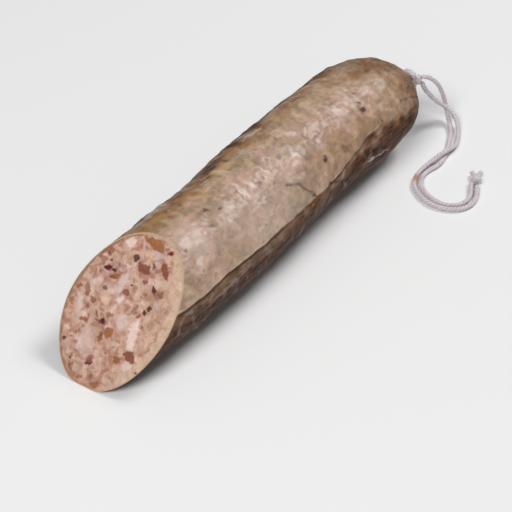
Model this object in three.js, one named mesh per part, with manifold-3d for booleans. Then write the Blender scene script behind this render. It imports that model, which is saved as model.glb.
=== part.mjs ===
// The tied end of a large cooked tongue sausage, cut on the slant and lying on its side.
// Millimetres, +Z up. X runs along the sausage, from the cut at -X to the tied end at +X.
// The origin is under the middle of the sausage, on the surface that it lies on.
import * as THREE from 'three';
import { mergeVertices } from 'three/addons/utils/BufferGeometryUtils.js';
import Module from 'manifold-3d';

const wasm = await Module();
wasm.setup();

// ---- Driving dimensions ----

// The sausage. It lies on a narrow flat, because its own weight presses it down.
const AXIS_HEIGHT = 27.1;
const CUT_TIP_X = -129.9;
const CUT_SLANT = THREE.MathUtils.degToRad(45.2);
const CUT_YAW = THREE.MathUtils.degToRad(3.2);
const STATIONS = [
  { x: -119, sideways: 2.8, radius: 27.6 },
  { x: -63, sideways: -0.2, radius: 28.0 },
  { x: -31, sideways: -1.8, radius: 27.8 },
  { x: 3, sideways: -0.5, radius: 28.2 },
  { x: 44, sideways: 0.6, radius: 27.6 },
  { x: 85, sideways: -1.7, radius: 27.9 },
];
const LUMP_HEIGHT = 0.35;
const LUMP_WAVES = [
  { length: 17, turns: 2, start: 0.6, share: 0.5 },
  { length: 11, turns: -3, start: 1.9, share: 0.3 },
  { length: 26, turns: 5, start: -0.8, share: 0.3 },
];

// The rounded end, which the tie gathers into pleats.
const CAP_START_X = 76.5;
const CAP_LENGTH = 42.3;
const CAP_POWER = 2.5;
const CAP_LEAN_POWER = 2;
const PLEAT_COUNT = 12;
const PLEAT_DEPTH = 0.16;
const PLEAT_FULL_AT = 4;
const PLEAT_GONE_AT = 22.4;
const TRUMPET_LENGTH = 4;
const TRUMPET_SPREAD = 3.6;

// The neck under the tie, and the short stub of casing past it.
const NECK_RADIUS = 2.9;
const STUB_RADIUS = 4.1;
const STUB_END_X = 130.2;
const STUB_TIP_RADIUS = 2.9;
const STUB_FLARE_LENGTH = 1.1;
const STUB_ROUNDING = 0.5;
const STUB_SHOULDER = 0.94;
const TIE = { x: 126.6, y: -8.8, z: 28 };
const TIE_HALF_WIDTH = 1.9;

// The casing's wall, and the clearance between one piece and the next.
const CASING_WALL = 1.2;
const CAP_WALL = 3.2;
const CLEARANCE = 0.3;

// The cut face has shallow crags where coarse pieces of meat and fat were sliced through.
const CRAG_HEIGHT = 0.3;
const CRAG_WIDTH = 2.7;
const CRAG_RISE = 2.3;
const CRAG_SKEW = 6;
const CRAG_START = 1.1;
const CRAG_RIM_POWER = 4;

// How finely the food's surfaces are divided.
const SECTORS = 60;
const BODY_ROWS = 17;
const CAP_ROWS = 13;
const INNER_BODY_ROWS = 9;
const INNER_CAP_ROWS = 8;
const FACE_RINGS = 9;
const CUT_STEPS = 8;

// The butcher's twine.
const TWINE_RADIUS = 1.25;
const TWINE_SIDES = 8;
const TWINE_STEP = 5.4;
const TIE_TURNS = 2;
const TIE_PITCH = 2.1;
const TIE_SECTORS = 22;

// Both ends of the twine leave the tie's knot, fall to the table and lie on it.
const STRAND_A_ROUTE = [
  [129.7, -14.9, 30.4], [131.8, -17.2, 30.0], [134.2, -19.4, 27.8], [136.9, -21.3, 23.7],
  [139.5, -22.6, 17.8], [141.4, -23.4, 12.0], [141.4, -24.9, 7.2], [139.0, -27.7, 3.8],
  [135.0, -31.6, 1.8], [130.0, -35.2, 1.4], [123.7, -38.2, 1.4], [116.7, -41.2, 1.4],
  [109.6, -43.4, 1.4], [103.4, -43.9, 1.4], [97.4, -42.5, 1.4], [91.6, -42.3, 1.4],
  [86.9, -43.9, 1.4], [83.3, -46.7, 1.4], [80.7, -50.4, 1.4], [78.9, -54.8, 1.4],
  [78.1, -59.4, 1.4], [78.6, -64.0, 1.4], [80.8, -67.9, 1.4], [84.2, -70.4, 1.4],
  [88.7, -71.2, 1.4], [93.1, -70.2, 1.5], [96.9, -68.2, 1.8], [100.2, -66.6, 2.2],
];
const STRAND_B_ROUTE = [
  [129.2, -15.8, 27.2], [130.0, -17.2, 23.5], [132.1, -19.2, 19.2], [135.0, -21.7, 14.6],
  [138.0, -24.6, 11.0], [140.0, -28.5, 7.8], [138.9, -32.9, 4.2], [134.9, -36.8, 1.9],
  [128.7, -40.4, 1.4], [122.7, -42.7, 1.8], [116.2, -43.4, 4.0], [109.7, -42.6, 4.7],
  [103.7, -40.8, 3.2], [97.4, -39.3, 1.6], [91.3, -39.3, 1.4], [86.0, -40.8, 1.4],
  [81.4, -43.6, 1.4], [78.1, -47.6, 1.4], [75.8, -52.4, 1.4], [74.8, -57.8, 1.4],
  [75.4, -63.4, 1.4], [77.5, -68.6, 1.4], [81.1, -72.6, 1.4], [85.9, -74.6, 1.4],
  [91.1, -74.2, 1.4], [96.1, -72.2, 1.6], [100.2, -69.7, 2.0],
];

// The knot at the tie, and the one that joins the free ends, with its two tails.
const TIE_KNOT = { x: 127.3, y: -14.3, z: 30.0 };
const TIE_KNOT_SIZE = [2.1, 1.9, 2.5];
const TIE_KNOT_AXIS = [0.5, -0.8, 0.3];
const END_KNOT = { x: 103.1, y: -67.5, z: 3.0 };
const END_KNOT_SIZE = [2.4, 2.9, 2.2];
const END_KNOT_AXIS = [0.85, 0.5, 0];
const KNOT_TURN_RADIUS = 1.7;
const KNOT_LUMP_SECTORS = 12;
const KNOT_LUMP_ROWS = 8;
const KNOT_TURN_SIDES = 7;
const KNOT_TURN_SECTORS = 14;
const TAIL_TIPS = [[108.6, -61.6, 1.6], [111.2, -65.2, 1.6]];
const TAIL_TIP_RADIUS = 1.55;

// ---- Materials ----

function finish(color, roughness) {
  return new THREE.MeshStandardMaterial({ color, roughness, metalness: 0 });
}

const casingFinish = () => finish(0x9a7d68, 0.38);
const fillingFinish = () => finish(0xcda795, 0.5);
const twineFinish = () => finish(0xd9cfd3, 0.9);

// ---- Small helpers ----

const { lerp, smoothstep } = THREE.MathUtils;

// The sausage's radius and sideways wander at x, eased from one station to the next.
function station(x) {
  if (x <= STATIONS[0].x) {
    return STATIONS[0];
  }
  const next = STATIONS.findIndex((one) => one.x > x);
  if (next < 0) {
    return STATIONS[STATIONS.length - 1];
  }
  const from = STATIONS[next - 1];
  const to = STATIONS[next];
  const ease = smoothstep(x, from.x, to.x);
  return {
    sideways: lerp(from.sideways, to.sideways, ease),
    radius: lerp(from.radius, to.radius, ease),
  };
}

// Broad, low lumps, where coarse pieces press against the casing.
function lump(x, angle) {
  const heights = LUMP_WAVES.map((wave) => (
    wave.share * Math.sin(x / wave.length + wave.turns * angle + wave.start)
  ));
  return LUMP_HEIGHT * heights.reduce((sum, height) => sum + height);
}

// A closed grid: rows of points round the X axis, shut by one point at each end.
function closedGrid(startPoint, rows, endPoint) {
  const count = rows[0].length;
  const positions = [...startPoint.toArray()];
  rows.forEach((row) => row.forEach((point) => positions.push(...point.toArray())));
  positions.push(...endPoint.toArray());
  const index = [];
  const at = (row, sector) => 1 + row * count + (sector % count);
  const endIndex = 1 + rows.length * count;
  for (let sector = 0; sector < count; sector += 1) {
    index.push(0, at(0, sector + 1), at(0, sector));
    for (let row = 0; row < rows.length - 1; row += 1) {
      const corners = [at(row, sector), at(row, sector + 1), at(row + 1, sector), at(row + 1, sector + 1)];
      index.push(corners[0], corners[1], corners[3]);
      index.push(corners[0], corners[3], corners[2]);
    }
    index.push(endIndex, at(rows.length - 1, sector), at(rows.length - 1, sector + 1));
  }
  const geometry = new THREE.BufferGeometry();
  geometry.setAttribute('position', new THREE.Float32BufferAttribute(positions, 3));
  geometry.setIndex(index);
  geometry.computeVertexNormals();
  return geometry;
}

// ---- The food ----

// One point of a tube of the sausage that lies `inset` below the casing's outside.
function bodyPoint(x, angle, inset) {
  const { sideways, radius } = station(x);
  const reach = radius + lump(x, angle) - inset;
  const y = sideways + reach * Math.cos(angle);
  const z = Math.max(AXIS_HEIGHT + reach * Math.sin(angle), inset);
  return new THREE.Vector3(x, y, z);
}

// The same point where the slanted cut meets the tube, found by stepping onto the plane.
// The plane passes through the lower tip, and the knife was turned a little towards +Y.
function cutPoint(angle, inset) {
  let point = bodyPoint(CUT_TIP_X, angle, inset);
  for (let step = 0; step < CUT_STEPS; step += 1) {
    const across = point.y - STATIONS[0].sideways;
    const x = CUT_TIP_X + point.z * Math.tan(CUT_SLANT) - across * Math.tan(CUT_YAW);
    point = bodyPoint(x, angle, inset);
  }
  return point;
}

// The rounded end is a superellipse turned about the axis, and leans over to the tie.
function capPoint(turn, angle, inset, length) {
  const { sideways, radius } = station(CAP_START_X);
  const along = Math.sin(turn) ** (2 / CAP_POWER);
  const across = Math.cos(turn) ** (2 / CAP_POWER);
  const reach = (radius + lump(CAP_START_X, angle) - inset) * across;
  const lean = along ** CAP_LEAN_POWER;
  const centreY = lerp(sideways, TIE.y, lean);
  const centreZ = lerp(AXIS_HEIGHT, TIE.z, lean);
  const x = CAP_START_X + length * along;
  const y = centreY + reach * Math.cos(angle);
  const z = Math.max(centreZ + reach * Math.sin(angle), inset);
  return { x, y, z, reach, centreY, centreZ };
}

// On the outside the rounded end is pleated, and drawn out to the neck like a trumpet.
function pleatedCapPoint(turn, angle) {
  const plain = capPoint(turn, angle, 0, CAP_LENGTH);
  const gathered = 1 - smoothstep(plain.reach, PLEAT_FULL_AT, PLEAT_GONE_AT);
  const crease = 0.5 - 0.5 * Math.cos(PLEAT_COUNT * angle);
  const shrink = 1 - PLEAT_DEPTH * gathered * crease;
  const drawn = TRUMPET_LENGTH * Math.exp(-(plain.reach - NECK_RADIUS) / TRUMPET_SPREAD);
  const y = plain.centreY + (plain.y - plain.centreY) * shrink;
  const z = plain.centreZ + (plain.z - plain.centreZ) * shrink;
  return new THREE.Vector3(plain.x + drawn, y, z);
}

function ring(pointAt) {
  const angles = Array.from({ length: SECTORS }, (_, sector) => (2 * Math.PI * sector) / SECTORS);
  return angles.map(pointAt);
}

// Rows from the cut to where the rounded end begins.
function bodyRows(inset, count) {
  const rows = [];
  for (let row = 0; row < count; row += 1) {
    const share = row / count;
    rows.push(ring((angle) => {
      const x = lerp(cutPoint(angle, inset).x, CAP_START_X, share);
      return row === 0 ? cutPoint(angle, inset) : bodyPoint(x, angle, inset);
    }));
  }
  return rows;
}

// Rows over a smooth rounded end that stops short of its pole.
function innerCapRows(inset, length) {
  const rows = [];
  for (let row = 0; row < INNER_CAP_ROWS; row += 1) {
    const turn = (Math.PI / 2) * (row / INNER_CAP_ROWS);
    rows.push(ring((angle) => {
      const { x, y, z } = capPoint(turn, angle, inset, length);
      return new THREE.Vector3(x, y, z);
    }));
  }
  return rows;
}

// Rows over the pleated end, up to the neck.
function outerCapRows() {
  const { radius } = station(CAP_START_X);
  const lastTurn = Math.acos((NECK_RADIUS / radius) ** (CAP_POWER / 2));
  const rows = [];
  for (let row = 0; row <= CAP_ROWS; row += 1) {
    rows.push(ring((angle) => pleatedCapPoint(lastTurn * (row / CAP_ROWS), angle)));
  }
  return rows;
}

// The neck runs straight through the tie and flares into a short rounded stub.
function neckRows() {
  const profile = [
    [TIE.x + TIE_HALF_WIDTH, NECK_RADIUS],
    [STUB_END_X - STUB_FLARE_LENGTH, STUB_RADIUS * STUB_SHOULDER],
    [STUB_END_X - STUB_ROUNDING, STUB_RADIUS],
    [STUB_END_X, STUB_TIP_RADIUS],
  ];
  return profile.map(([x, reach]) => ring((angle) => {
    const crease = 0.5 - 0.5 * Math.cos(PLEAT_COUNT * angle);
    const pleated = reach * (1 - PLEAT_DEPTH * crease);
    return new THREE.Vector3(x, TIE.y + pleated * Math.cos(angle), TIE.z + pleated * Math.sin(angle));
  }));
}

// The casing is one skin, open at the cut and drawn shut at the tie.
function casing() {
  const innerLength = CAP_LENGTH - CAP_WALL;
  const inner = [
    ...bodyRows(CASING_WALL, INNER_BODY_ROWS),
    ...innerCapRows(CASING_WALL, innerLength),
  ].reverse();
  const outer = [...bodyRows(0, BODY_ROWS), ...outerCapRows(), ...neckRows()];
  const innerPole = new THREE.Vector3(CAP_START_X + innerLength, TIE.y, TIE.z);
  const stubEnd = new THREE.Vector3(STUB_END_X, TIE.y, TIE.z);
  const geometry = closedGrid(innerPole, [...inner, ...outer], stubEnd);
  return new THREE.Mesh(geometry, casingFinish());
}

// Rings of the cut face, from near its middle to just inside the rim.
function faceRings(rim, centre) {
  const normal = new THREE.Vector3(-1, -Math.tan(CUT_YAW), Math.tan(CUT_SLANT)).normalize();
  const rings = [];
  for (let row = 1; row < FACE_RINGS; row += 1) {
    const share = row / FACE_RINGS;
    rings.push(rim.map((edge) => {
      const point = centre.clone().lerp(edge, share);
      const across = Math.sin(point.y / CRAG_WIDTH + CRAG_START);
      const crag = across * Math.sin(point.z / CRAG_RISE + point.y / CRAG_SKEW);
      return point.addScaledVector(normal, CRAG_HEIGHT * crag * (1 - share ** CRAG_RIM_POWER));
    }));
  }
  return rings;
}

// The meat filling runs the whole length of the casing and ends in the cut face.
function filling() {
  const inset = CASING_WALL + CLEARANCE;
  const length = CAP_LENGTH - CAP_WALL - CLEARANCE;
  const sides = [...bodyRows(inset, INNER_BODY_ROWS), ...innerCapRows(inset, length)];
  const rim = sides[0];
  const centre = rim.reduce((sum, edge) => sum.add(edge), new THREE.Vector3()).divideScalar(SECTORS);
  const pole = new THREE.Vector3(CAP_START_X + length, TIE.y, TIE.z);
  const geometry = closedGrid(centre, [...faceRings(rim, centre), ...sides], pole);
  return new THREE.Mesh(geometry, fillingFinish());
}

// ---- The twine ----

function solid(geometry) {
  const bare = geometry.clone();
  bare.deleteAttribute('normal');
  bare.deleteAttribute('uv');
  const merged = mergeVertices(bare, 1e-4);
  return new wasm.Manifold(new wasm.Mesh({
    numProp: 3,
    vertProperties: merged.attributes.position.array,
    triVerts: merged.index.array,
  }));
}

function fuse(geometries) {
  const whole = geometries.map(solid).reduce((sum, next) => sum.add(next));
  const mesh = whole.getMesh();
  const geometry = new THREE.BufferGeometry();
  geometry.setAttribute('position', new THREE.BufferAttribute(mesh.vertProperties, 3));
  geometry.setIndex(new THREE.BufferAttribute(mesh.triVerts, 1));
  geometry.computeVertexNormals();
  return geometry;
}

// A knot is a rounded lump, with one turn of twine standing proud round it.
function knotShapes(place, size, turnAxis) {
  const lumpShape = new THREE.SphereGeometry(1, KNOT_LUMP_SECTORS, KNOT_LUMP_ROWS);
  lumpShape.scale(...size);
  lumpShape.translate(place.x, place.y, place.z);
  const turn = new THREE.TorusGeometry(KNOT_TURN_RADIUS, TWINE_RADIUS, KNOT_TURN_SIDES, KNOT_TURN_SECTORS);
  const axis = new THREE.Vector3(...turnAxis).normalize();
  const turned = new THREE.Quaternion().setFromUnitVectors(new THREE.Vector3(0, 0, 1), axis);
  turn.applyQuaternion(turned);
  turn.translate(place.x, place.y, place.z);
  return [lumpShape, turn];
}

// The tie is wound round the neck and knotted on its -Y side.
function tie() {
  const shapes = [];
  const reach = NECK_RADIUS + CLEARANCE + TWINE_RADIUS;
  for (let turn = 0; turn < TIE_TURNS; turn += 1) {
    const shape = new THREE.TorusGeometry(reach, TWINE_RADIUS, TWINE_SIDES, TIE_SECTORS);
    shape.rotateY(Math.PI / 2);
    const offset = (turn - (TIE_TURNS - 1) / 2) * TIE_PITCH;
    shape.translate(TIE.x + offset, TIE.y, TIE.z);
    shapes.push(shape);
  }
  shapes.push(...knotShapes(TIE_KNOT, TIE_KNOT_SIZE, TIE_KNOT_AXIS));
  return new THREE.Mesh(fuse(shapes), twineFinish());
}

function strand(route) {
  const curve = new THREE.CatmullRomCurve3(route.map((point) => new THREE.Vector3(...point)));
  const section = new THREE.Shape();
  for (let side = 0; side < TWINE_SIDES; side += 1) {
    const angle = (2 * Math.PI * side) / TWINE_SIDES;
    const corner = [TWINE_RADIUS * Math.cos(angle), TWINE_RADIUS * Math.sin(angle)];
    if (side === 0) {
      section.moveTo(...corner);
    } else {
      section.lineTo(...corner);
    }
  }
  section.closePath();
  const steps = Math.round(curve.getLength() / TWINE_STEP);
  const geometry = new THREE.ExtrudeGeometry(section, { steps, extrudePath: curve, curveSegments: 1 });
  return new THREE.Mesh(geometry, twineFinish());
}

// A tail is a short cone, widest at its cut tip where the fibres spread.
function tail(from, tip) {
  const start = new THREE.Vector3(from.x, from.y, from.z);
  const end = new THREE.Vector3(...tip);
  const length = start.distanceTo(end);
  const shape = new THREE.CylinderGeometry(TAIL_TIP_RADIUS, TWINE_RADIUS, length, TWINE_SIDES);
  const heading = end.clone().sub(start).normalize();
  const turned = new THREE.Quaternion().setFromUnitVectors(new THREE.Vector3(0, 1, 0), heading);
  shape.applyQuaternion(turned);
  const middle = start.add(end).divideScalar(2);
  shape.translate(middle.x, middle.y, middle.z);
  return shape;
}

// The knot that joins the free ends of the twine.
function endKnot() {
  const shapes = knotShapes(END_KNOT, END_KNOT_SIZE, END_KNOT_AXIS);
  TAIL_TIPS.forEach((tip) => shapes.push(tail(END_KNOT, tip)));
  return new THREE.Mesh(fuse(shapes), twineFinish());
}

// ---- The whole ----

function named(name, mesh) {
  mesh.name = name;
  return mesh;
}

const sausage = new THREE.Group();
sausage.add(named('casing', casing()));
sausage.add(named('filling', filling()));
sausage.add(named('twine_tie', tie()));
sausage.add(named('twine_strand_a', strand(STRAND_A_ROUTE)));
sausage.add(named('twine_strand_b', strand(STRAND_B_ROUTE)));
sausage.add(named('twine_end_knot', endKnot()));

export default sausage;
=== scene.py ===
"""The tied end of a cooked tongue sausage, cut on the slant, with its loose butcher's twine.

Lengths are metres in the frame of the construction model: X runs along the sausage from the
cut to the tied end, Z is up, and the sausage lies on Z = 0. An angle round the sausage starts
at +Y and passes over the top, at a quarter turn, to -Y, at half a turn.
"""

import math

import bpy
import numpy as np
from bpy.props import FloatProperty, FloatVectorProperty, IntProperty, PointerProperty
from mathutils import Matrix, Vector


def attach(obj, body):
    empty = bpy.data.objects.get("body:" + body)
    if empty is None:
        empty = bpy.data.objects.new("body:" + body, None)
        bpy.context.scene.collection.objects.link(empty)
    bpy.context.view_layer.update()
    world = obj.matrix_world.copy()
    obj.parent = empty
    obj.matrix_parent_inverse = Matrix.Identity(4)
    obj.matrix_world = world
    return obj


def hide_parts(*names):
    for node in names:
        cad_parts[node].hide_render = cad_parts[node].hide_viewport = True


bl_info = {
    "name": "Tongue Sausage",
    "version": (1, 0, 0),
    "blender": (4, 5, 0),
    "location": "3D View > Sidebar > Sausage",
    "description": "Makes the casing, the coarse filling and the butcher's twine of a cut sausage",
    "category": "Add Mesh",
}

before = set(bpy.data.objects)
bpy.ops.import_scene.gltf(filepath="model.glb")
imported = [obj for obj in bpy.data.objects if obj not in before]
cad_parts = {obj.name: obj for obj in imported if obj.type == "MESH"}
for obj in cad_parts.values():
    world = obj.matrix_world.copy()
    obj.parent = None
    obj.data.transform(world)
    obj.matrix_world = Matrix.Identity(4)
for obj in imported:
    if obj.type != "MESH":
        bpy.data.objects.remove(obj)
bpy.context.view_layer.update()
MM = 0.001
FULL_TURN = 2 * math.pi

# ---- Places that the construction model also uses ----

# Along the sausage: x, how far its middle wanders sideways, and its radius.
STATIONS = np.array([
    (-119, 2.8, 27.6),
    (-63, -0.2, 28.0),
    (-31, -1.8, 27.8),
    (3, -0.5, 28.2),
    (44, 0.6, 27.6),
    (85, -1.7, 27.9),
]) * MM
# The radius that turns an angle round the sausage into a distance.
RADIUS = STATIONS[0, 2]
TIE = np.array([126.6, -8.8, 28.0]) * MM
TIE_HALF_WIDTH = 1.9 * MM

# Broad lumps: wave length in millimetres, turns round the sausage, start and share.
LUMP_WAVES = [(17, 2, 0.6, 0.5), (11, -3, 1.9, 0.3), (26, 5, -0.8, 0.3)]

# Where the pleats are full and where they are gone, and the shape of the stub past the tie.
PLEAT_FULL_AT = 4 * MM
PLEAT_GONE_AT = 22.4 * MM
STUB_TIP_RADIUS = 2.9 * MM
STUB_FLARE_LENGTH = 1.1 * MM
STUB_ROUNDING = 0.5 * MM
STUB_SHOULDER = 0.94

# The loose twine's two strands, from the knot at the tie to the knot at their free ends.
STRAND_A_ROUTE = [
    (0.1297, -0.0149, 0.0304), (0.1318, -0.0172, 0.0300), (0.1342, -0.0194, 0.0278),
    (0.1369, -0.0213, 0.0237), (0.1395, -0.0226, 0.0178), (0.1414, -0.0234, 0.0120),
    (0.1414, -0.0249, 0.0072), (0.1390, -0.0277, 0.0038), (0.1350, -0.0316, 0.0018),
    (0.1300, -0.0352, 0.0014), (0.1237, -0.0382, 0.0014), (0.1167, -0.0412, 0.0014),
    (0.1096, -0.0434, 0.0014), (0.1034, -0.0439, 0.0014), (0.0974, -0.0425, 0.0014),
    (0.0916, -0.0423, 0.0014), (0.0869, -0.0439, 0.0014), (0.0833, -0.0467, 0.0014),
    (0.0807, -0.0504, 0.0014), (0.0789, -0.0548, 0.0014), (0.0781, -0.0594, 0.0014),
    (0.0786, -0.0640, 0.0014), (0.0808, -0.0679, 0.0014), (0.0842, -0.0704, 0.0014),
    (0.0887, -0.0712, 0.0014), (0.0931, -0.0702, 0.0015), (0.0969, -0.0682, 0.0018),
    (0.1002, -0.0666, 0.0022),
]
STRAND_B_ROUTE = [
    (0.1292, -0.0158, 0.0272), (0.1300, -0.0172, 0.0235), (0.1321, -0.0192, 0.0192),
    (0.1350, -0.0217, 0.0146), (0.1380, -0.0246, 0.0110), (0.1400, -0.0285, 0.0078),
    (0.1389, -0.0329, 0.0042), (0.1349, -0.0368, 0.0019), (0.1287, -0.0404, 0.0014),
    (0.1227, -0.0427, 0.0018), (0.1162, -0.0434, 0.0040), (0.1097, -0.0426, 0.0047),
    (0.1037, -0.0408, 0.0032), (0.0974, -0.0393, 0.0016), (0.0913, -0.0393, 0.0014),
    (0.0860, -0.0408, 0.0014), (0.0814, -0.0436, 0.0014), (0.0781, -0.0476, 0.0014),
    (0.0758, -0.0524, 0.0014), (0.0748, -0.0578, 0.0014), (0.0754, -0.0634, 0.0014),
    (0.0775, -0.0686, 0.0014), (0.0811, -0.0726, 0.0014), (0.0859, -0.0746, 0.0014),
    (0.0911, -0.0742, 0.0014), (0.0961, -0.0722, 0.0016), (0.1002, -0.0697, 0.0020),
]
TIE_KNOT = np.array([127.3, -14.3, 30.0]) * MM
END_KNOT = np.array([103.1, -67.5, 3.0]) * MM
TAIL_TIPS = np.array([(108.6, -61.6, 1.6), (111.2, -65.2, 1.6)]) * MM

# A direction that neither strand ever runs along, from which its twist is counted.
TWIST_REFERENCE = (0.0, -0.64, 0.77)

# ---- What shows in the cut ----

# Chopped pieces in the cut, by what they are. Millimetres on the slanted cut: how far across
# (towards +Y) and up the slope from the lower tip, then length, width, turn in degrees from
# across, and how strongly the piece shows, from 0 to 1.
CHOPPED = {
    "fat": [
        (12, 70.5, 6.4, 5, 2, 0.8), (6.7, 51.7, 12.5, 4.1, -85, 0.8),
        (4.2, 43.6, 4.6, 3.6, 66, 0.9), (-1.7, 34.8, 8.6, 5.3, 70, 0.8),
        (-9.5, 31.4, 14.2, 4.8, 75, 0.9), (18.9, 47.2, 6.3, 3.9, -40, 0.6),
        (11.1, 20.3, 15.2, 9.2, 70, 0.45), (-4.6, 69.2, 6.8, 3.9, -18, 0.6),
        (-13, 16.7, 6.8, 4.6, -23, 0.7), (22.8, 35.4, 10.2, 3.6, 66, 0.75),
        (-14.5, 48.3, 5, 3.4, 22, 0.5), (2.7, 14.5, 6.1, 3.9, 42, 0.4),
    ],
    "beige": [
        (-19.3, 56.1, 5.3, 4.3, -18, 0.6), (-17.4, 30.1, 8, 2.6, -85, 0.6),
        (-8.1, 50, 9, 6.4, 22, 0.35), (-0.7, 53.6, 2.5, 2, -8, 0.9),
        (-9.5, 14.7, 4.9, 3.1, -23, 0.6), (24.7, 27, 4.4, 2.5, -23, 0.6),
        (-13.2, 40.4, 3.3, 2.8, -8, 0.5), (1.2, 40, 5.1, 2.9, 61, 0.4),
        (11.6, 40.9, 5, 3.9, 22, 0.5), (17.4, 62.1, 3.6, 2.4, 61, 0.5),
    ],
    "rosy": [
        (19.9, 62.7, 6.2, 4, -3, 0.8), (20.8, 58.3, 5.1, 2.5, -3, 0.5), (3.2, 48, 4.2, 2, 8, 0.9),
        (17, 28.6, 5, 2.3, -8, 0.9), (-8.1, 40.3, 2.5, 1.8, -65, 0.8), (9, 30.3, 1.8, 1.5, 3, 0.9),
        (6.1, 71.2, 4.1, 1.7, 70, 0.5), (-2.2, 58.3, 5.4, 3, -8, 0.5),
        (25.1, 42.9, 1.5, 1.3, -13, 1), (-12, 36.1, 1.6, 1.3, -18, 0.9),
        (5.7, 13.4, 4.4, 2, -39, 0.6), (-12.5, 52.8, 5.1, 2.9, 70, 0.4),
    ],
    "amber": [
        (-0.2, 74.1, 11.8, 5.2, 6, 1), (11.5, 52.8, 4.6, 2.1, -31, 1),
        (2.3, 27.8, 5.2, 4.4, 8, 0.95), (-7.1, 18, 4.2, 3.7, -18, 1),
        (26.1, 42.1, 2.8, 2.1, -40, 0.9), (-1.9, 3, 5.3, 2.4, -23, 0.8),
        (27.3, 34.3, 4.2, 2.8, -13, 0.7), (-15.4, 27.2, 2.9, 1.4, -60, 0.4),
        (7.6, 61.7, 3.6, 2.4, 32, 0.3), (-21.8, 63.4, 2.6, 1.5, 42, 0.35),
    ],
    "lean": [
        (-0.6, 61.4, 6.6, 5.4, -8, 0.9), (-10.4, 64.3, 8.3, 3.6, 52, 1),
        (5.5, 23.9, 4.8, 2.6, 80, 0.9), (-12.9, 21.6, 6.8, 4.6, 18, 0.95),
        (16.7, 38.4, 3.4, 2.8, -13, 0.8), (18.1, 34.7, 3, 2.2, 70, 0.8),
        (-3.6, 56, 2.8, 1.8, -18, 0.8), (-6.4, 50.8, 2.8, 1.5, 2, 0.7),
        (5.8, 35.1, 3.4, 3, -8, 0.6), (1.6, 5.9, 2, 1.5, -18, 0.7), (6.7, 3.2, 3.3, 1.9, -23, 0.7),
        (16.3, 17.4, 2.6, 1.8, 56, 0.7), (21.8, 41.9, 7.5, 2.9, 70, 0.6),
        (-14, 53.2, 4.1, 2.5, 70, 0.75), (-3.2, 71.9, 1.8, 1.5, -3, 0.8),
        (-1, 19.5, 3.1, 1.4, -23, 0.4),
    ],
    "dark": [
        (5.6, 64.6, 3.7, 3.2, -49, 0.9), (-4.5, 64.1, 3.2, 1.7, 42, 0.8),
        (17.3, 55.1, 4.7, 2.4, -6, 1), (13.3, 55.3, 2.4, 1.9, -16, 1),
        (16.8, 58.9, 1.6, 1.3, -16, 0.9), (12.8, 51.9, 2.5, 1.2, -8, 0.6),
        (13.9, 45.7, 3.4, 2.7, -13, 0.75), (-9.6, 54.1, 4, 2.1, 44, 0.95),
        (-11.2, 45.9, 3.5, 2.5, 52, 0.9), (-10, 42.9, 3.2, 2.4, 22, 0.95),
        (12, 33.1, 3.5, 1.2, 42, 0.8), (10.5, 30.8, 2.6, 1.2, 13, 0.7),
        (7.6, 31.4, 2.6, 2.3, -18, 1), (22.2, 16.5, 1.9, 1.5, -18, 0.9),
        (5.5, 11.2, 3.5, 2.5, -54, 1), (15.1, 9.3, 1.5, 1.3, -18, 0.8),
        (-5.2, 48.8, 1.1, 1, -8, 0.9), (-18.9, 16, 1.6, 1, -23, 0.9),
        (13.1, 5.9, 4.3, 1.4, 42, 0.5), (1.7, 51.9, 1.8, 1.6, -54, 0.9),
        (-22.7, 40.4, 4.4, 0.5, -23, 0.5), (-3.1, 39.5, 2.9, 0.5, -49, 0.5),
        (-9.6, 72.9, 3.6, 2.3, -46, 0.5), (25.9, 33, 2.4, 1.3, 32, 0.5),
    ],
    "red": [
        (-9.5, 72.9, 3.6, 2.2, -46, 1.0), (18.7, 61.4, 3.0, 1.9, 22, 0.7),
        (12.8, 51.6, 1.9, 1.2, -60, 0.9), (8.9, 30.2, 1.6, 1.2, 13, 0.9),
        (5.0, 12.4, 2.4, 1.4, -54, 0.7), (16.6, 28.2, 2.4, 1.2, -8, 0.6),
        (2.6, 48.4, 2.2, 1.1, 8, 0.6),
    ],
}

# The order in which the kinds cover each other, and how many small ones are scattered:
# count, then the least and the greatest length in millimetres, and how strongly they show.
SCATTERED = {
    "fat": (110, 2.0, 5.5, 0.42),
    "beige": (90, 1.6, 4.5, 0.40),
    "rosy": (80, 1.0, 3.4, 0.36),
    "amber": (34, 0.8, 2.0, 0.55),
    "lean": (80, 0.8, 2.4, 0.45),
    "dark": (120, 0.4, 1.1, 0.55),
    "red": (34, 0.4, 1.0, 0.8),
}

# ---- Sizes and colours ----


def linear(text):
    """An sRGB colour, written as six hex digits, in linear light."""
    parts = [int(text[place:place + 2], 16) / 255 for place in (0, 2, 4)]
    return tuple(p / 12.92 if p <= 0.04045 else ((p + 0.055) / 1.055) ** 2.4 for p in parts)


def colour(name, text, description):
    """A colour that a user may change, given as sRGB hex."""
    return FloatVectorProperty(
        name=name, description=description, default=linear(text), subtype="COLOR", min=0, max=1,
    )


def length(name, millimetres, description):
    """A length that a user may change, given in millimetres and kept in metres."""
    return FloatProperty(
        name=name, description=description, default=millimetres * MM, unit="LENGTH", precision=5,
    )


def rotation(name, degrees, description):
    """An angle that a user may change, given in degrees."""
    return FloatProperty(
        name=name, description=description, default=math.radians(degrees), unit="ROTATION",
    )


def plain_number(name, value, description):
    """A number without a unit that a user may change."""
    return FloatProperty(name=name, description=description, default=value)


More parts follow.
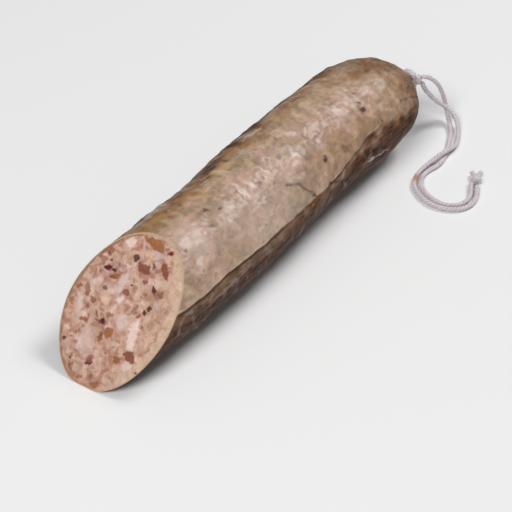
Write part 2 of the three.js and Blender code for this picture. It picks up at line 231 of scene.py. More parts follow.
class SausageShape(bpy.types.PropertyGroup):
    """The food's sizes, the same as the construction model's"""

    axis_height: length("Axis height", 27.1, "Height of the sausage's axis above the table")
    cut_tip_x: length("Cut tip", -129.9, "Where the slanted cut meets the table")
    cut_slant: rotation("Cut slant", 45.2, "Lean of the cut from upright")
    cut_yaw: rotation("Cut yaw", 3.2, "Turn of the cut towards +Y")
    lump_height: length("Lump height", 0.35, "Height of the broad lumps")
    cap_start_x: length("Cap start", 76.5, "Where the rounded end begins")
    cap_length: length("Cap length", 42.3, "Length of the rounded end")
    cap_wall: length("Cap wall", 3.2, "Thickness of the gathered casing at the tie")
    cap_power: plain_number("Cap power", 2.5, "Bluntness of the rounded end; 2 is an ellipse")
    pleat_count: IntProperty(name="Pleats", description="Folds at the tie", default=12)
    pleat_depth: plain_number("Pleat depth", 0.16, "Depth of a fold, as a share of the radius")
    trumpet_length: length("Trumpet length", 4, "How far the neck is drawn out")
    trumpet_spread: length("Trumpet spread", 3.6, "How wide the drawn-out part is")
    neck_radius: length("Neck radius", 2.9, "Radius of the casing under the tie")
    stub_radius: length("Stub radius", 4.1, "Radius of the casing's end past the tie")
    stub_end_x: length("Stub end", 130.2, "Where the casing ends")
    skin: length("Skin", 0.45, "Thickness of the casing, as it shows at the cut")


class CasingLook(bpy.types.PropertyGroup):
    """Colours and relief of the natural casing"""

    taupe: colour("Taupe", "AC9379", "Casing over lean meat")
    rose: colour("Rose grey", "AC8D7D", "Casing over fat, where it looks milky")
    # Milk is pale fat under the skin, and partly a painted highlight in the listed milky marks and the last
    # streak.
    milk: colour("Milk", "DCCABF", "Pale fat close under the skin")
    tan: colour("Amber brown", "8F6946", "Yellow-brown casing")
    # The belly's dark colour is partly the skin's own and partly painted shade of the underside.
    belly: colour("Belly", "341B0F", "The side that rested in the cooking juices")
    pale_belly: colour("Pale belly", "8C5E3E", "Paler streaks in the belly")
    yellow: colour("Yellow", "B8935F", "Yellow fat under the skin")
    # Umber is partly browned skin and partly painted shade on the far side and round the end.
    umber: colour("Umber", "4A2A14", "Browned skin on the far side and round the end")
    # The crease colour is doubled casing on the fold's crest, and partly a painted highlight.
    crease: colour("Crease", "D8C0A2", "Doubled casing along the fold's crest")
    bruise: colour("Dark fleck", "40262A", "Dark meat showing through")
    edge: colour("Cut edge", "D3B194", "The casing's cut edge")
    mound: length("Mound height", 0.24, "Height of the marks over fat")
    fold: length("Fold height", 0.55, "Height of the long fold")


class FillingLook(bpy.types.PropertyGroup):
    """Colours and relief of the coarse filling"""

    paste: colour("Paste", "AC7B65", "Finely chopped meat and fat")
    pale_paste: colour("Pale paste", "D1AC97", "Fatter, paler paste")
    fat: colour("Fat", "E3C8BF", "White fat")
    beige: colour("Beige", "DCBA9C", "Cooked fatty tissue")
    rosy: colour("Rosy", "9A4A40", "Cured pink meat")
    amber: colour("Amber", "A06438", "Orange-brown tongue")
    lean: colour("Lean", "894B34", "Brown-red lean meat")
    dark: colour("Dark", "52140D", "Dark maroon lean meat")
    red: colour("Red", "7A0504", "Bright cured specks")
    cream: colour("Rim", "D8B8A0", "Fat band under the casing")
    brown_rim: colour("Browned rim", "8A6040", "Browned rim on the upper left")
    relief: length("Relief", 0.16, "How far pieces stand proud of the cut or lie below it")
    band: length("Fat band", 4.8, "Width of the fat band under the casing")


class TwineShape(bpy.types.PropertyGroup):
    """Sizes and colours of the butcher's twine"""

    radius: length("Radius", 1.25, "Radius of the twine")
    lay: length("Lay", 6.2, "Length of one turn of a ply")
    clearance: length("Clearance", 0.3, "Clearance between the neck and the tie")
    cotton: colour("Cotton", "D8CED3", "Bleached cotton")
    hollow: colour("Hollow", "A4979C", "Shaded hollows between the plies")
    # Painted shade where the strands lie against each other.
    strand_shade: colour("Soil", "6B585C", "Grey-brown where the strands lie against each other")
    stain: colour("Stain", "B0713F", "Where cooking juices dried on the twine")


class Studio(bpy.types.PropertyGroup):
    """The camera, the lights and the floor"""

    azimuth: rotation("Azimuth", -53.41, "Bearing of the camera")
    elevation: rotation("Elevation", 41.0, "Height of the camera as an angle")
    distance: length("Distance", 950, "From the camera to the point it looks at")
    lens: plain_number("Lens", 137.3, "Focal length in millimetres")
    key_power: plain_number("Key", 30, "Power of the main softbox in watts")
    satin_power: plain_number("Satin", 22, "Power of the softbox past the tied end")
    sky: plain_number("Sky", 0.2, "Strength of the light from all round")
    floor: colour("Floor", "EAEAEA", "The pale floor")


# The point that the camera looks at, and where the photograph's frame has it.
LOOK_AT = np.array([-18.25, -4.6, 28.0]) * MM
FRAME_SHIFT = (0.0328, -0.0707)
# Two softboxes: one over the cut, and one past the tied end, whose light the top throws back.
KEY_PLACE = (-1.32, -0.22, 1.74)
KEY_SIZE = 1.1
SATIN_PLACE = (1.33, -0.44, 1.69)
SATIN_SIZE = 0.8
FLOOR_SIZE = 6.0

# ---- Surfaces as whole arrays ----

# Between which shares of its wave length a ripple's own length is drawn, and how far the starts
# of the ripples spread, in radians.
RIPPLE_LENGTHS = (0.7, 1.45)
RIPPLE_STARTS = 7


def smoothstep(low, high, value):
    """Rises smoothly from 0 at low to 1 at high, as the cubic 3t^2 - 2t^3."""
    share = np.clip((value - low) / (high - low), 0, 1)
    return share * share * (3 - 2 * share)


def ramp(ends, value):
    """Rises smoothly from 0 to 1 between two ends in millimetres, for a value in metres."""
    return smoothstep(ends[0] * MM, ends[1] * MM, value)


def ripples(x, angle, seed, wave, count=26):
    """Smooth random relief with a spread of 1: a sum of sine waves of about one length, in all
    directions. Each has a whole number of waves round the sausage, so that it closes, and each
    use has its own seed."""
    random = np.random.default_rng(seed)
    heading = random.uniform(0, FULL_TURN, count)
    pitch = FULL_TURN / (wave * random.uniform(*RIPPLE_LENGTHS, count))
    starts = random.uniform(0, RIPPLE_STARTS, count)
    around = np.round(pitch * np.sin(heading) * RADIUS)
    total = np.zeros(np.broadcast(x, angle).shape)
    for along, turns, start in zip(pitch * np.cos(heading), around, starts):
        total += np.sin(along * x + turns * angle + start)
    return total / math.sqrt(count / 2)


def layered(x, angle, layers, base=0):
    """A base with ripples on it, each given by height, seed, wave length in millimetres and
    count."""
    heights = (
        height * ripples(x, angle, seed, wave * MM, count) for height, seed, wave, count in layers
    )
    return sum(heights, base)


def station(x):
    """Sideways wander and radius at x, eased by a smoothstep from one station to the next."""
    step = np.clip(np.searchsorted(STATIONS[:, 0], x, side="right") - 1, 0, len(STATIONS) - 2)
    start, end = STATIONS[step], STATIONS[step + 1]
    ease = smoothstep(start[..., 0], end[..., 0], x)[..., None]
    eased = start + (end - start) * ease
    return eased[..., 1], eased[..., 2]


def lump(shape, x, angle):
    """Broad lumps: three sine waves over x and the angle, whose whole numbers close the tube."""
    heights = (
        share * np.sin(x / (wave * MM) + turns * angle + start)
        for wave, turns, start, share in LUMP_WAVES
    )
    return shape.lump_height * sum(heights)


def settle(height, inset):
    """Rests a height on the table, less the inset: heights near it are eased over a parabola, so
    that the narrow flat underneath has no sharp border."""
    ease = 0.5 * MM
    above = height - inset
    curved = (above + ease) ** 2 / (4 * ease)
    return inset + np.where(above < -ease, 0, np.where(above < ease, curved, above))


def body_point(shape, x, angle, inset):
    """A circle about the axis at x, with its lumps, less the inset, and flat on the table."""
    sideways, radius = station(x)
    reach = radius + lump(shape, x, angle) - inset
    y = sideways + reach * np.cos(angle)
    z = settle(shape.axis_height + reach * np.sin(angle), inset)
    return np.stack(np.broadcast_arrays(x, y, z), axis=-1)


def cut_point(shape, angle, inset, behind=0.0):
    """Where the slanted cut, moved behind by a distance along X, meets the tube: x is stepped
    onto the plane through the lower tip, leaning back and a little turned, until it settles."""
    settling_steps = 8
    x = np.full(np.shape(angle), shape.cut_tip_x)
    for _ in range(settling_steps):
        point = body_point(shape, x, angle, inset)
        across = point[..., 1] - STATIONS[0, 1]
        x = shape.cut_tip_x + behind + point[..., 2] * math.tan(shape.cut_slant)
        x = x - across * math.tan(shape.cut_yaw)
    return body_point(shape, x, angle, inset)


def cap_point(shape, turn, angle, inset, cap_length):
    """A superellipse turned about the axis, whose centre leans over to the tie by the square of
    how far along it is. Returns the points, their reach from the centre, and the centre."""
    sideways, radius = station(np.array(shape.cap_start_x))
    along = np.sin(turn) ** (2 / shape.cap_power)
    across = np.maximum(np.cos(turn), 0) ** (2 / shape.cap_power)
    reach = (radius + lump(shape, shape.cap_start_x, angle) - inset) * across
    lean = along ** 2
    centre_y = sideways + (TIE[1] - sideways) * lean
    centre_z = shape.axis_height + (TIE[2] - shape.axis_height) * lean
    x = shape.cap_start_x + cap_length * along
    y = centre_y + reach * np.cos(angle)
    z = settle(centre_z + reach * np.sin(angle), inset)
    points = np.stack(np.broadcast_arrays(x, y, z), axis=-1)
    centre = np.stack(np.broadcast_arrays(x, centre_y, centre_z + 0 * reach), axis=-1)
    return points, reach, centre


# Finer folds on the pleats: how many, how far and how often they bunch, and the shares of both.
FINE_PLEATS = 29
BUNCHING = 1.5
BUNCHES = 3
PLEAT_SHARE = 0.75
FINE_PLEAT_SHARE = 0.35


def gathering(shape, angle):
    """The folds at the tie, from 0 on a ridge to 1 in a crease: the construction model's even
    cosine, with a finer and uneven one on it."""
    even = 0.5 - 0.5 * np.cos(shape.pleat_count * angle)
    uneven = 0.5 - 0.5 * np.cos(FINE_PLEATS * angle + BUNCHING * np.sin(BUNCHES * angle))
    return PLEAT_SHARE * even + FINE_PLEAT_SHARE * uneven


def grid_normals(points):
    """Outward normals of rows that close round the sausage: the cross product of the step
    round it and the step along it."""
    around = np.roll(points, -1, axis=1) - np.roll(points, 1, axis=1)
    along = np.gradient(points, axis=0)
    normals = np.cross(around, along)
    return normals / np.maximum(np.linalg.norm(normals, axis=-1, keepdims=True), 1e-12)


# ---- Meshes and node trees ----

# A Mix node's two colours and the colour it gives, by number, because their names repeat.
MIX_FROM = 6
MIX_TO = 7
MIXED = 2
# Between which values most of a noise lies.
NOISE = (0.3, 0.7)


def add_mesh(name, points, faces, uv=None, masks=None):
    """A smooth mesh piece at the origin from whole arrays. faces is a list of index arrays, one
    for each number of corners, uv a list to match, and masks one number a point by name."""
    mesh = bpy.data.meshes.new(name)
    corners = np.concatenate([group.ravel() for group in faces])
    sizes = np.concatenate([np.full(len(group), group.shape[1]) for group in faces])
    starts = np.concatenate([[0], np.cumsum(sizes)[:-1]])
    mesh.vertices.add(len(points))
    mesh.vertices.foreach_set("co", np.ascontiguousarray(points, np.float32).ravel())
    mesh.loops.add(len(corners))
    mesh.loops.foreach_set("vertex_index", corners.astype(np.int32))
    mesh.polygons.add(len(sizes))
    mesh.polygons.foreach_set("loop_start", starts.astype(np.int32))
    mesh.polygons.foreach_set("use_smooth", np.ones(len(sizes), bool))
    if uv:
        layer = mesh.uv_layers.new(name="OFBake")
        flat = np.concatenate([group.reshape(-1, 2) for group in uv])
        layer.data.foreach_set("uv", flat.astype(np.float32).ravel())
    for mask, values in (masks or {}).items():
        attribute = mesh.attributes.new(mask, "FLOAT", "POINT")
        attribute.data.foreach_set("value", np.asarray(values, np.float32).ravel())
    mesh.update(calc_edges=True)
    mesh.validate()
    piece = bpy.data.objects.new(name, mesh)
    bpy.context.scene.collection.objects.link(piece)
    return piece


def closed_grid(rows, columns, first=0):
    """Faces of rows of points that close round, shut by a point before the first row and one
    after the last. Returns quads, triangles, and the corners' places in the unit square."""
    row, column = np.meshgrid(np.arange(rows - 1), np.arange(columns), indexing="ij")
    row, column = row.ravel(), column.ravel()
    after = (column + 1) % columns
    start = first + 1
    quads = np.stack([
        start + row * columns + column,
        start + row * columns + after,
        start + (row + 1) * columns + after,
        start + (row + 1) * columns + column,
    ], axis=1)
    across = np.stack([column, column + 1, column + 1, column], axis=1) / columns
    along = (np.stack([row, row, row + 1, row + 1], axis=1) + 1) / (rows + 1)
    ring = np.arange(columns)
    next_one = (ring + 1) % columns
    last_row = start + (rows - 1) * columns
    last = start + rows * columns
    triangles = np.concatenate([
        np.stack([np.full(columns, first), start + next_one, start + ring], axis=1),
        np.stack([np.full(columns, last), last_row + ring, last_row + next_one], axis=1),
    ])
    fan = np.stack([ring + 0.5, ring + 1, ring], axis=1) / columns
    back_fan = np.stack([ring + 0.5, ring, ring + 1], axis=1) / columns
    low = np.tile([0, 1, 1], (columns, 1)) / (rows + 1)
    quad_uv = np.stack([across, along], axis=-1)
    fan_uv = np.concatenate([np.stack([fan, low], axis=-1), np.stack([back_fan, 1 - low], axis=-1)])
    return quads, triangles, quad_uv, fan_uv


def add_node(tree, kind, inputs, **settings):
    """Adds one node with its settings, and its inputs as values or as other nodes' outputs."""
    node = tree.nodes.new(kind)
    for name, value in settings.items():
        setattr(node, name, value)
    for name, value in inputs.items():
        if isinstance(value, bpy.types.NodeSocket):
            tree.links.new(value, node.inputs[name])
        else:
            node.inputs[name].default_value = value
    return node


def new_material(name):
    """An empty node material. Returns it with its tree."""
    material = bpy.data.materials.new(name)
    material.use_nodes = True
    material.node_tree.nodes.clear()
    return material, material.node_tree


def rgba(tint):
    """A colour setting as a node's input takes it, with full cover."""
    return (*tint, 1.0)


def vary_lightness(tree, tint, sources):
    """Makes a colour lighter and darker with each source: while the source runs between its two
    ends, the colour is multiplied by a number that runs between two others."""
    for source, low, high, least, most in sources:
        factor = add_node(tree, "ShaderNodeMapRange", {
            "Value": source, "From Min": low, "From Max": high, "To Min": least, "To Max": most,
        }).outputs["Result"]
        tint = add_node(tree, "ShaderNodeVectorMath", {
            0: tint, "Scale": factor,
        }, operation="SCALE").outputs["Vector"]
    return tint


# ---- The casing ----

# Away from the cut's edge, the casing's inside and the filling lie this deep.
CASING_DEPTH = 1.2 * MM
FILLING_DEPTH = 1.6 * MM
# Their hidden rows start this far behind the cut, and end in a plain cap.
HIDDEN_START = 4 * MM
HIDDEN_ROWS = 24
HIDDEN_CAP_STEPS = 6

CASING_COLUMNS = 280
BODY_ROWS = 246
CAP_ROWS = 60
NECK_ROWS = 12
# The columns lie closer together round this angle, over the folds.
CLOSE_COLUMNS = math.radians(150)
CLOSENESS = 0.30
# The casing's relief fades in over this distance from the cut, and fades out towards the tie.
RELIEF_START = 3 * MM
RELIEF_LOST_AT_TIE = 0.85
# The cut edge is a thin rounded lip, from the outside to just inside the filling's rim: how far
# behind the cut and how deep each row lies, as shares of the skin.
CUT_LIP = [(2.0, 1.3), (0.4, 1.0), (0.07, 0.8), (0.0, 0.45), (0.12, 0.1)]

# Lines along the sausage, as x in millimetres and the angle in degrees. Low on the -Y side the
# casing doubles over in a long fold, and everything below that line has a darker skin, partly
# its own colour and partly painted shade of the underside.
FOLD_LINE = [
    (-130, 168), (-94, 165.5), (-72, 166), (-54, 164), (-35, 165), (-20, 166.2), (-4, 167), (12, 168),
    (28, 167.6), (40, 166), (52, 161.5), (61, 155.5), (75, 152.5), (83, 156), (94, 160), (120, 164),
]
FOLD_ENDS = (-108, 77)
# Creases, where the gut wall is drawn together; their darker colour is painted shade.
SEAMS = [
    [(-1, 136), (5, 143), (9, 155), (13, 166)],
    [(26, 168), (37, 181), (47, 196)],
    [(93, 147), (103, 153), (110, 162)],
    [(-74, 187), (-57, 184.5), (-42, 180)],
    [(-30, 300), (-8, 292), (14, 296), (31, 310)],
    [(-6, 18), (20, 12), (49, 20)],
]

# Marks on the skin, by what they are: x in millimetres, angle in degrees, then length, width,
# turn in degrees from along the sausage, and strength from 0 to 1.
MARKS = {
    # The listed milky marks lie where the satin lights fall: pale fat, and partly painted highlights.
    "milky": [
        (-36, 112, 9, 6, 90, 0.6), (-24, 105, 12, 3.2, 95, 0.9), (-18, 112, 7.5, 2.6, 80, 1.0),
        (-5.5, 110, 9, 2.6, 70, 0.9), (-9, 118, 3.8, 3, 0, 0.8), (15, 118.5, 6, 4.5, 80, 1.0),
        (24, 98, 7.5, 2.6, 45, 0.8), (55, 117, 8, 5, 60, 0.6), (66, 105, 9, 2.6, 85, 0.5),
        (76, 117, 4, 3, 0, 0.6), (78, 138, 4.5, 3.4, 0, 0.7), (-70, 136, 6.5, 3, -25, 1.0),
        (-45, 125, 4.5, 1.6, 90, 0.6), (14, 62, 11, 2.6, 10, 0.5), (-33, 98, 3.4, 2, 80, 0.5),
        (9, 139, 8, 3, 10, 0.5), (90, 137, 13, 2.2, 90, 0.5), (-66, 118, 22, 17, 60, 0.45),
        (-75, 126, 4, 2.4, 30, 0.7), (-61, 109, 12, 1.6, 20, 0.6), (38, 108, 6, 3, 20, 0.4),
        (32, 128, 7, 4, -30, 0.35), (-52, 137, 9, 4, 10, 0.3), (70, 158, 8, 3, 10, 0.3),
        (100, 88, 8, 4, 60, 0.3), (-20, 77, 10, 5, 80, 0.35), (48, 82, 7, 3, 70, 0.3),
        (-22, 141, 60, 34, 0, 0.28),
    ],
    "yellow": [
        (-17, 73, 18, 7, 10, 0.8), (-62, 73, 20, 5, 15, 0.5), (30, 75, 14, 5, 10, 0.4),
        (-40, 84, 12, 4, 30, 0.45), (58, 140, 12, 4, 25, 0.35), (86, 128, 10, 4, 60, 0.4),
        (2, 150, 12, 4, 20, 0.3), (-45, 150, 16, 6, 10, 0.3), (-8, 300, 20, 8, 10, 0.5),
    ],
    "streak": [
        (-21, 131, 13, 1.3, 0, 1.0), (-28, 149.5, 10, 1.4, 0, 0.8), (-17, 146.5, 13, 1.3, 0, 0.9),
        (-40, 142, 14, 2, 4, 0.4), (-58, 181.5, 34, 4.2, -6, 0.7), (35, 176, 16, 5, 12, 0.35),
        (4, 174, 9, 4, 60, 0.35), (-28, 179, 8, 4, 50, 0.3), (94, 129, 6, 1.6, 85, 0.5),
        (64, 168, 14, 4, 20, 0.35), (52, 104, 9, 1.8, 85, 0.4), (-86, 172, 12, 2, -8, 0.5),
        (20, 156, 7, 2, 40, 0.4), (40, 152, 9, 2, 25, 0.4), (84, 148, 8, 2, 30, 0.5),
        # The last streak is a painted highlight along a second fold near the bottom.
        (67.5, 188, 21, 1.6, 7, 1.9),
    ],
    "fleck": [
        (-46.5, 100, 4.6, 3.0, 60, 1.0), (-41, 108.5, 3, 2.2, 20, 0.9), (-51.5, 117, 3, 2, 80, 0.8),
        (-72, 119.5, 2.6, 2.4, 0, 0.8), (-71, 98, 2.6, 1.6, 80, 0.6), (-39, 100, 1.7, 1.5, 0, 0.6),
        (-27, 68.7, 7, 2.2, 5, 0.9), (-10.5, 68, 4.2, 3.2, 50, 0.9), (-51, 75, 6, 1.4, -50, 0.6),
        (-57, 73, 6, 1.2, 80, 0.5), (-26.5, 111, 8, 1.5, 87, 0.7), (-14.5, 114, 6.5, 1.4, 78, 0.7),
        (-7.5, 125, 3.4, 1.6, 30, 0.6), (2.5, 86, 2.6, 1.6, 40, 0.5), (16.5, 92, 3.2, 2, -40, 0.7),
        (6, 108.5, 2.6, 1.6, 0, 0.5), (29.5, 143.5, 4.2, 2.4, 20, 1.0), (35, 117.5, 4, 1.6, 80, 0.6),
        (44, 127, 2, 1.5, 0, 0.5), (46, 152, 8, 4.5, 30, 0.45), (67, 129.5, 3.6, 3, 0, 1.0),
        (68.5, 121, 2.8, 2, 45, 0.9), (71, 109.5, 3, 2.2, 0, 0.8), (90, 98, 3.6, 2.4, 0, 0.6),
        (103, 139, 3, 2, 0, 0.7), (100, 110, 4, 2.4, 0, 0.4), (75, 151.5, 4, 1.6, 30, 0.9),
        (13, 166, 4.6, 2.4, 45, 1.0), (50, 68, 8, 3, 30, 0.5), (-20, 320, 3, 2.6, 0, 0.9),
        (35, 20, 3.6, 2.4, 60, 0.9), (-60, 10, 3, 2, 20, 0.8), (60, 350, 2.6, 2, 0, 0.8),
        (28, 69, 12, 1.6, 15, 0.45), (-70, 60, 14, 1.8, 12, 0.4), (-36, 55, 12, 2.2, 25, 0.5),
        # The last fleck is painted shade along that second fold, below its highlight.
        (69, 193.5, 22, 2.8, 8, 1.0),
    ],
}
# Small marks all over: how many, the least and the greatest length in millimetres, width as a
# share of length, how far the turn spreads round across the sausage, and the strength.
SCATTERED_MARKS = {
    "milky": (150, 2.5, 8.0, 0.50, 50, 0.34),
    "yellow": (30, 4.0, 12.0, 0.40, 50, 0.3),
    "streak": (200, 5.0, 13.0, 0.18, 30, 0.32),
    "fleck": (130, 0.8, 3.2, 0.55, 60, 0.42),
}

# Scattered marks: where they lie along the sausage in millimetres, and how their width and
# strength vary. The outlines of all marks wobble along the sausage and, in radians, round it.
MARK_SPAN = (-105, 112)
MARK_WIDTHS = (0.7, 1.4)
MARK_STRENGTHS = (0.5, 1.5)
WOBBLE_ALONG = 0.5 * MM
WOBBLE_ROUND = 0.018
WOBBLE_WAVE = 4 * MM
WOBBLE_COUNT = 16

# How far the long fold's line wanders, in degrees, and over what length.
FOLD_WANDER = 0.35
FOLD_WANDER_WAVE = 14 * MM
# The long fold's section, in millimetres below its line: it rises slowly, drops at once, and has
# a groove under it, whose depth is a share of the fold's height.
FOLD_RISE = (-7, -0.6)
FOLD_DROP = (-0.3, 0.8)
GROOVE_PLACE = 1.5
GROOVE_WIDTH = 0.9
GROOVE_DEPTH = 0.5
# The long fold along the sausage, in millimetres: how long its two ends taper, the middle and
# half width of the stretch where it is almost gone, and how much is left of it there.
FOLD_TAPERS = (18, 9)
FOLD_GAP = (6, 24)
LEFT_IN_GAP = 0.12
# Between which shares of the gap's half width the fold comes back.
GAP_FADES = (0.5, 1.0)
# The distance below the fold's line is kept up to this many millimetres.
BELOW_LIMIT = 6
SEAM_WIDTH = 0.7 * MM
SEAM_WANDER = 0.3 * MM

# Ripples by height, seed, wave length in millimetres and count: coarse meat that presses from
# inside, in millimetres, and how far the borders between the skin's colours wander, in degrees.
MEAT = [(0.14, 21, 22, 26), (0.13, 22, 9, 26), (0.05, 23, 4.5, 34)]
BORDER_WANDER = [(7, 51, 20, 26), (3, 52, 6, 26)]
# How far each kind of mark stands up, or lies low, as a share of the mounds' height.
MARK_HEIGHTS = {"milky": 1, "streak": 0.9, "fleck": -0.6, "seam": -1.4}

# Between which ends the skin changes along the sausage, as x in millimetres, round it, in
# degrees, and below the long fold's line, in millimetres.
ALONG = {
    "fold lowers": (36, 48), "cap": (78, 104), "belly softens": (14, 40),
    "belly darkens": (-20, 10), "cap browns": (72, 94), "end browns": (90, 112),
    "near side tans": (0, 45), "crown fades": (72, 96),
}
ROUND = {
    "crown starts": (84, 104), "belly ends": (310, 345), "cap brown ends": (92, 114),
    "far side browns": (38, 66), "far side tans": (58, 92), "near side tans": (122, 146),
}
BELOW = {"sharp belly": (-0.1, 0.9), "soft belly": (-2.5, 7.0), "deep": (1, 11)}
# The colour of the cut edge fades between these distances from the rim, in millimetres.
EDGE_FADES = (0.1, 0.9)
# How far some of these ends wander, beside the wander of the borders: on the cap, and in
# millimetres at the soft belly. Then how much of the borders' wander the umber far side, partly
# painted shade, and the tanned far side take, and how far the umber end moves for each degree
# of it.
CAP_WANDER = 4 * MM
SOFT_BELLY_WANDER = 1.6
BROWN_SHARE = 0.8
TAN_SHARE = 1.2
END_SHARE = 0.6 * MM
# The tan reaches this many degrees further round on the cap.
TAN_FURTHER_ON_CAP = 12
# The milky crown's lower border in degrees: where it is, over how much it fades, and how much
# further down it reaches round a place next to the cut.
CROWN_LOW = 128
CROWN_FADE = 38
CROWN_DIP = 12
CROWN_DIP_PLACE = -30 * MM
CROWN_DIP_REACH = 45 * MM
# How strong each change is, as a share.
FOLD_LOWERING = 0.3
PALER_BELLY = 0.3
CAP_BROWN = 0.5
END_BROWN = 0.55
CAP_TAN = 0.6
NEAR_TAN = 0.42
CROWN_LOST_ON_CAP = 0.8
HIDDEN_BY_DARK = {"milky": 0.6, "streak": 0.3}


def fold_distance(x, angle):
    """Distance round the sausage, in metres, below the line of the long fold."""
    route = np.array(FOLD_LINE)
    line = np.interp(x, route[:, 0] * MM, np.radians(route[:, 1]))
    line = line + np.radians(FOLD_WANDER) * ripples(x, 0 * x, 31, FOLD_WANDER_WAVE, 8)
    return (np.mod(angle, FULL_TURN) - line) * RADIUS


def fold_strength(x):
    """How strong the long fold is at x: it tapers at its ends, is almost gone over one stretch,
    and gets lower towards the tied end."""
    start, end = (place * MM for place in FOLD_ENDS)
    fold = smoothstep(start, start + FOLD_TAPERS[0] * MM, x)
    fold = fold * (1 - smoothstep(end - FOLD_TAPERS[1] * MM, end, x))
    middle, reach = FOLD_GAP
    clear = smoothstep(*GAP_FADES, np.abs(x - middle * MM) / (reach * MM))
    fold = fold * (LEFT_IN_GAP + (1 - LEFT_IN_GAP) * clear)
    return fold * (1 - FOLD_LOWERING * ramp(ALONG["fold lowers"], x))


def seam_distance(x, angle):
    """Distance in metres from the nearest seam: from the nearest point of each straight part."""
    around = np.mod(angle, FULL_TURN) * RADIUS
    nearest = np.full(np.shape(x), 1.0)
    for seam in SEAMS:
        route = np.array(seam) * [MM, math.pi / 180 * RADIUS]
        for start, end in zip(route[:-1], route[1:]):
            step = end - start
            share = ((x - start[0]) * step[0] + (around - start[1]) * step[1]) / (step @ step)
            share = np.clip(share, 0, 1)
            away = np.hypot(x - start[0] - share * step[0], around - start[1] - share * step[1])
            nearest = np.minimum(nearest, away)
    return nearest + SEAM_WANDER * ripples(x, angle, 33, 5 * MM, 12)


def all_marks(kind):
    """The marks of one kind, and its small ones at random places, seeded by the length of the
    kind's name."""
    random = np.random.default_rng(len(kind))
    count, least, most, slender, spread, strength = SCATTERED_MARKS[kind]
    marks = list(MARKS[kind])
    for _ in range(count):
        long = random.uniform(least, most)
        marks.append((
            random.uniform(*MARK_SPAN), random.uniform(0, 360), long,
            long * slender * random.uniform(*MARK_WIDTHS), 90 + random.uniform(-spread, spread),
            strength * random.uniform(*MARK_STRENGTHS),
        ))
    return marks


def mark_cover(kind, x, angle):
    """How strongly each point lies in a mark of one kind, from 0 to 1: for each mark a flat-topped
    bell over its length and width, and the strongest one counts."""
    x = x + WOBBLE_ALONG * ripples(x, angle, 56, WOBBLE_WAVE, WOBBLE_COUNT)
    turned = angle + WOBBLE_ROUND * ripples(x, angle, 57, WOBBLE_WAVE, WOBBLE_COUNT)
    total = np.zeros(np.shape(x))
    for place, bearing, long, wide, turn, shown in all_marks(kind):
        around = np.mod(turned - math.radians(bearing) + math.pi, FULL_TURN) - math.pi
        around = around * RADIUS
        along = x - place * MM
        near = (np.abs(along) < long * MM) & (np.abs(around) < long * MM)
        cosine, sine = math.cos(math.radians(turn)), math.sin(math.radians(turn))
        one = (along[near] * cosine + around[near] * sine) / (0.5 * long * MM)
        two = (around[near] * cosine - along[near] * sine) / (0.5 * wide * MM)
        total[near] = np.maximum(total[near], shown * np.exp(-(one ** 2 + two ** 2) ** 2))
    return total


def casing_relief(look, x, angle, masks):
    """Height of the casing's surface: coarse meat pressing from inside, the marks, the seams,
    and the long fold, which rises slowly and drops at once below its line."""
    meat = layered(x, angle, MEAT) * MM
    pressed = sum(height * masks[kind] for kind, height in MARK_HEIGHTS.items())
    below = fold_distance(x, angle)
    crest = ramp(FOLD_RISE, below) - ramp(FOLD_DROP, below)
    groove = np.exp(-((below - GROOVE_PLACE * MM) / (GROOVE_WIDTH * MM)) ** 2)
    return meat + look.mound * pressed + look.fold * masks["fold"] * (crest - GROOVE_DEPTH * groove)


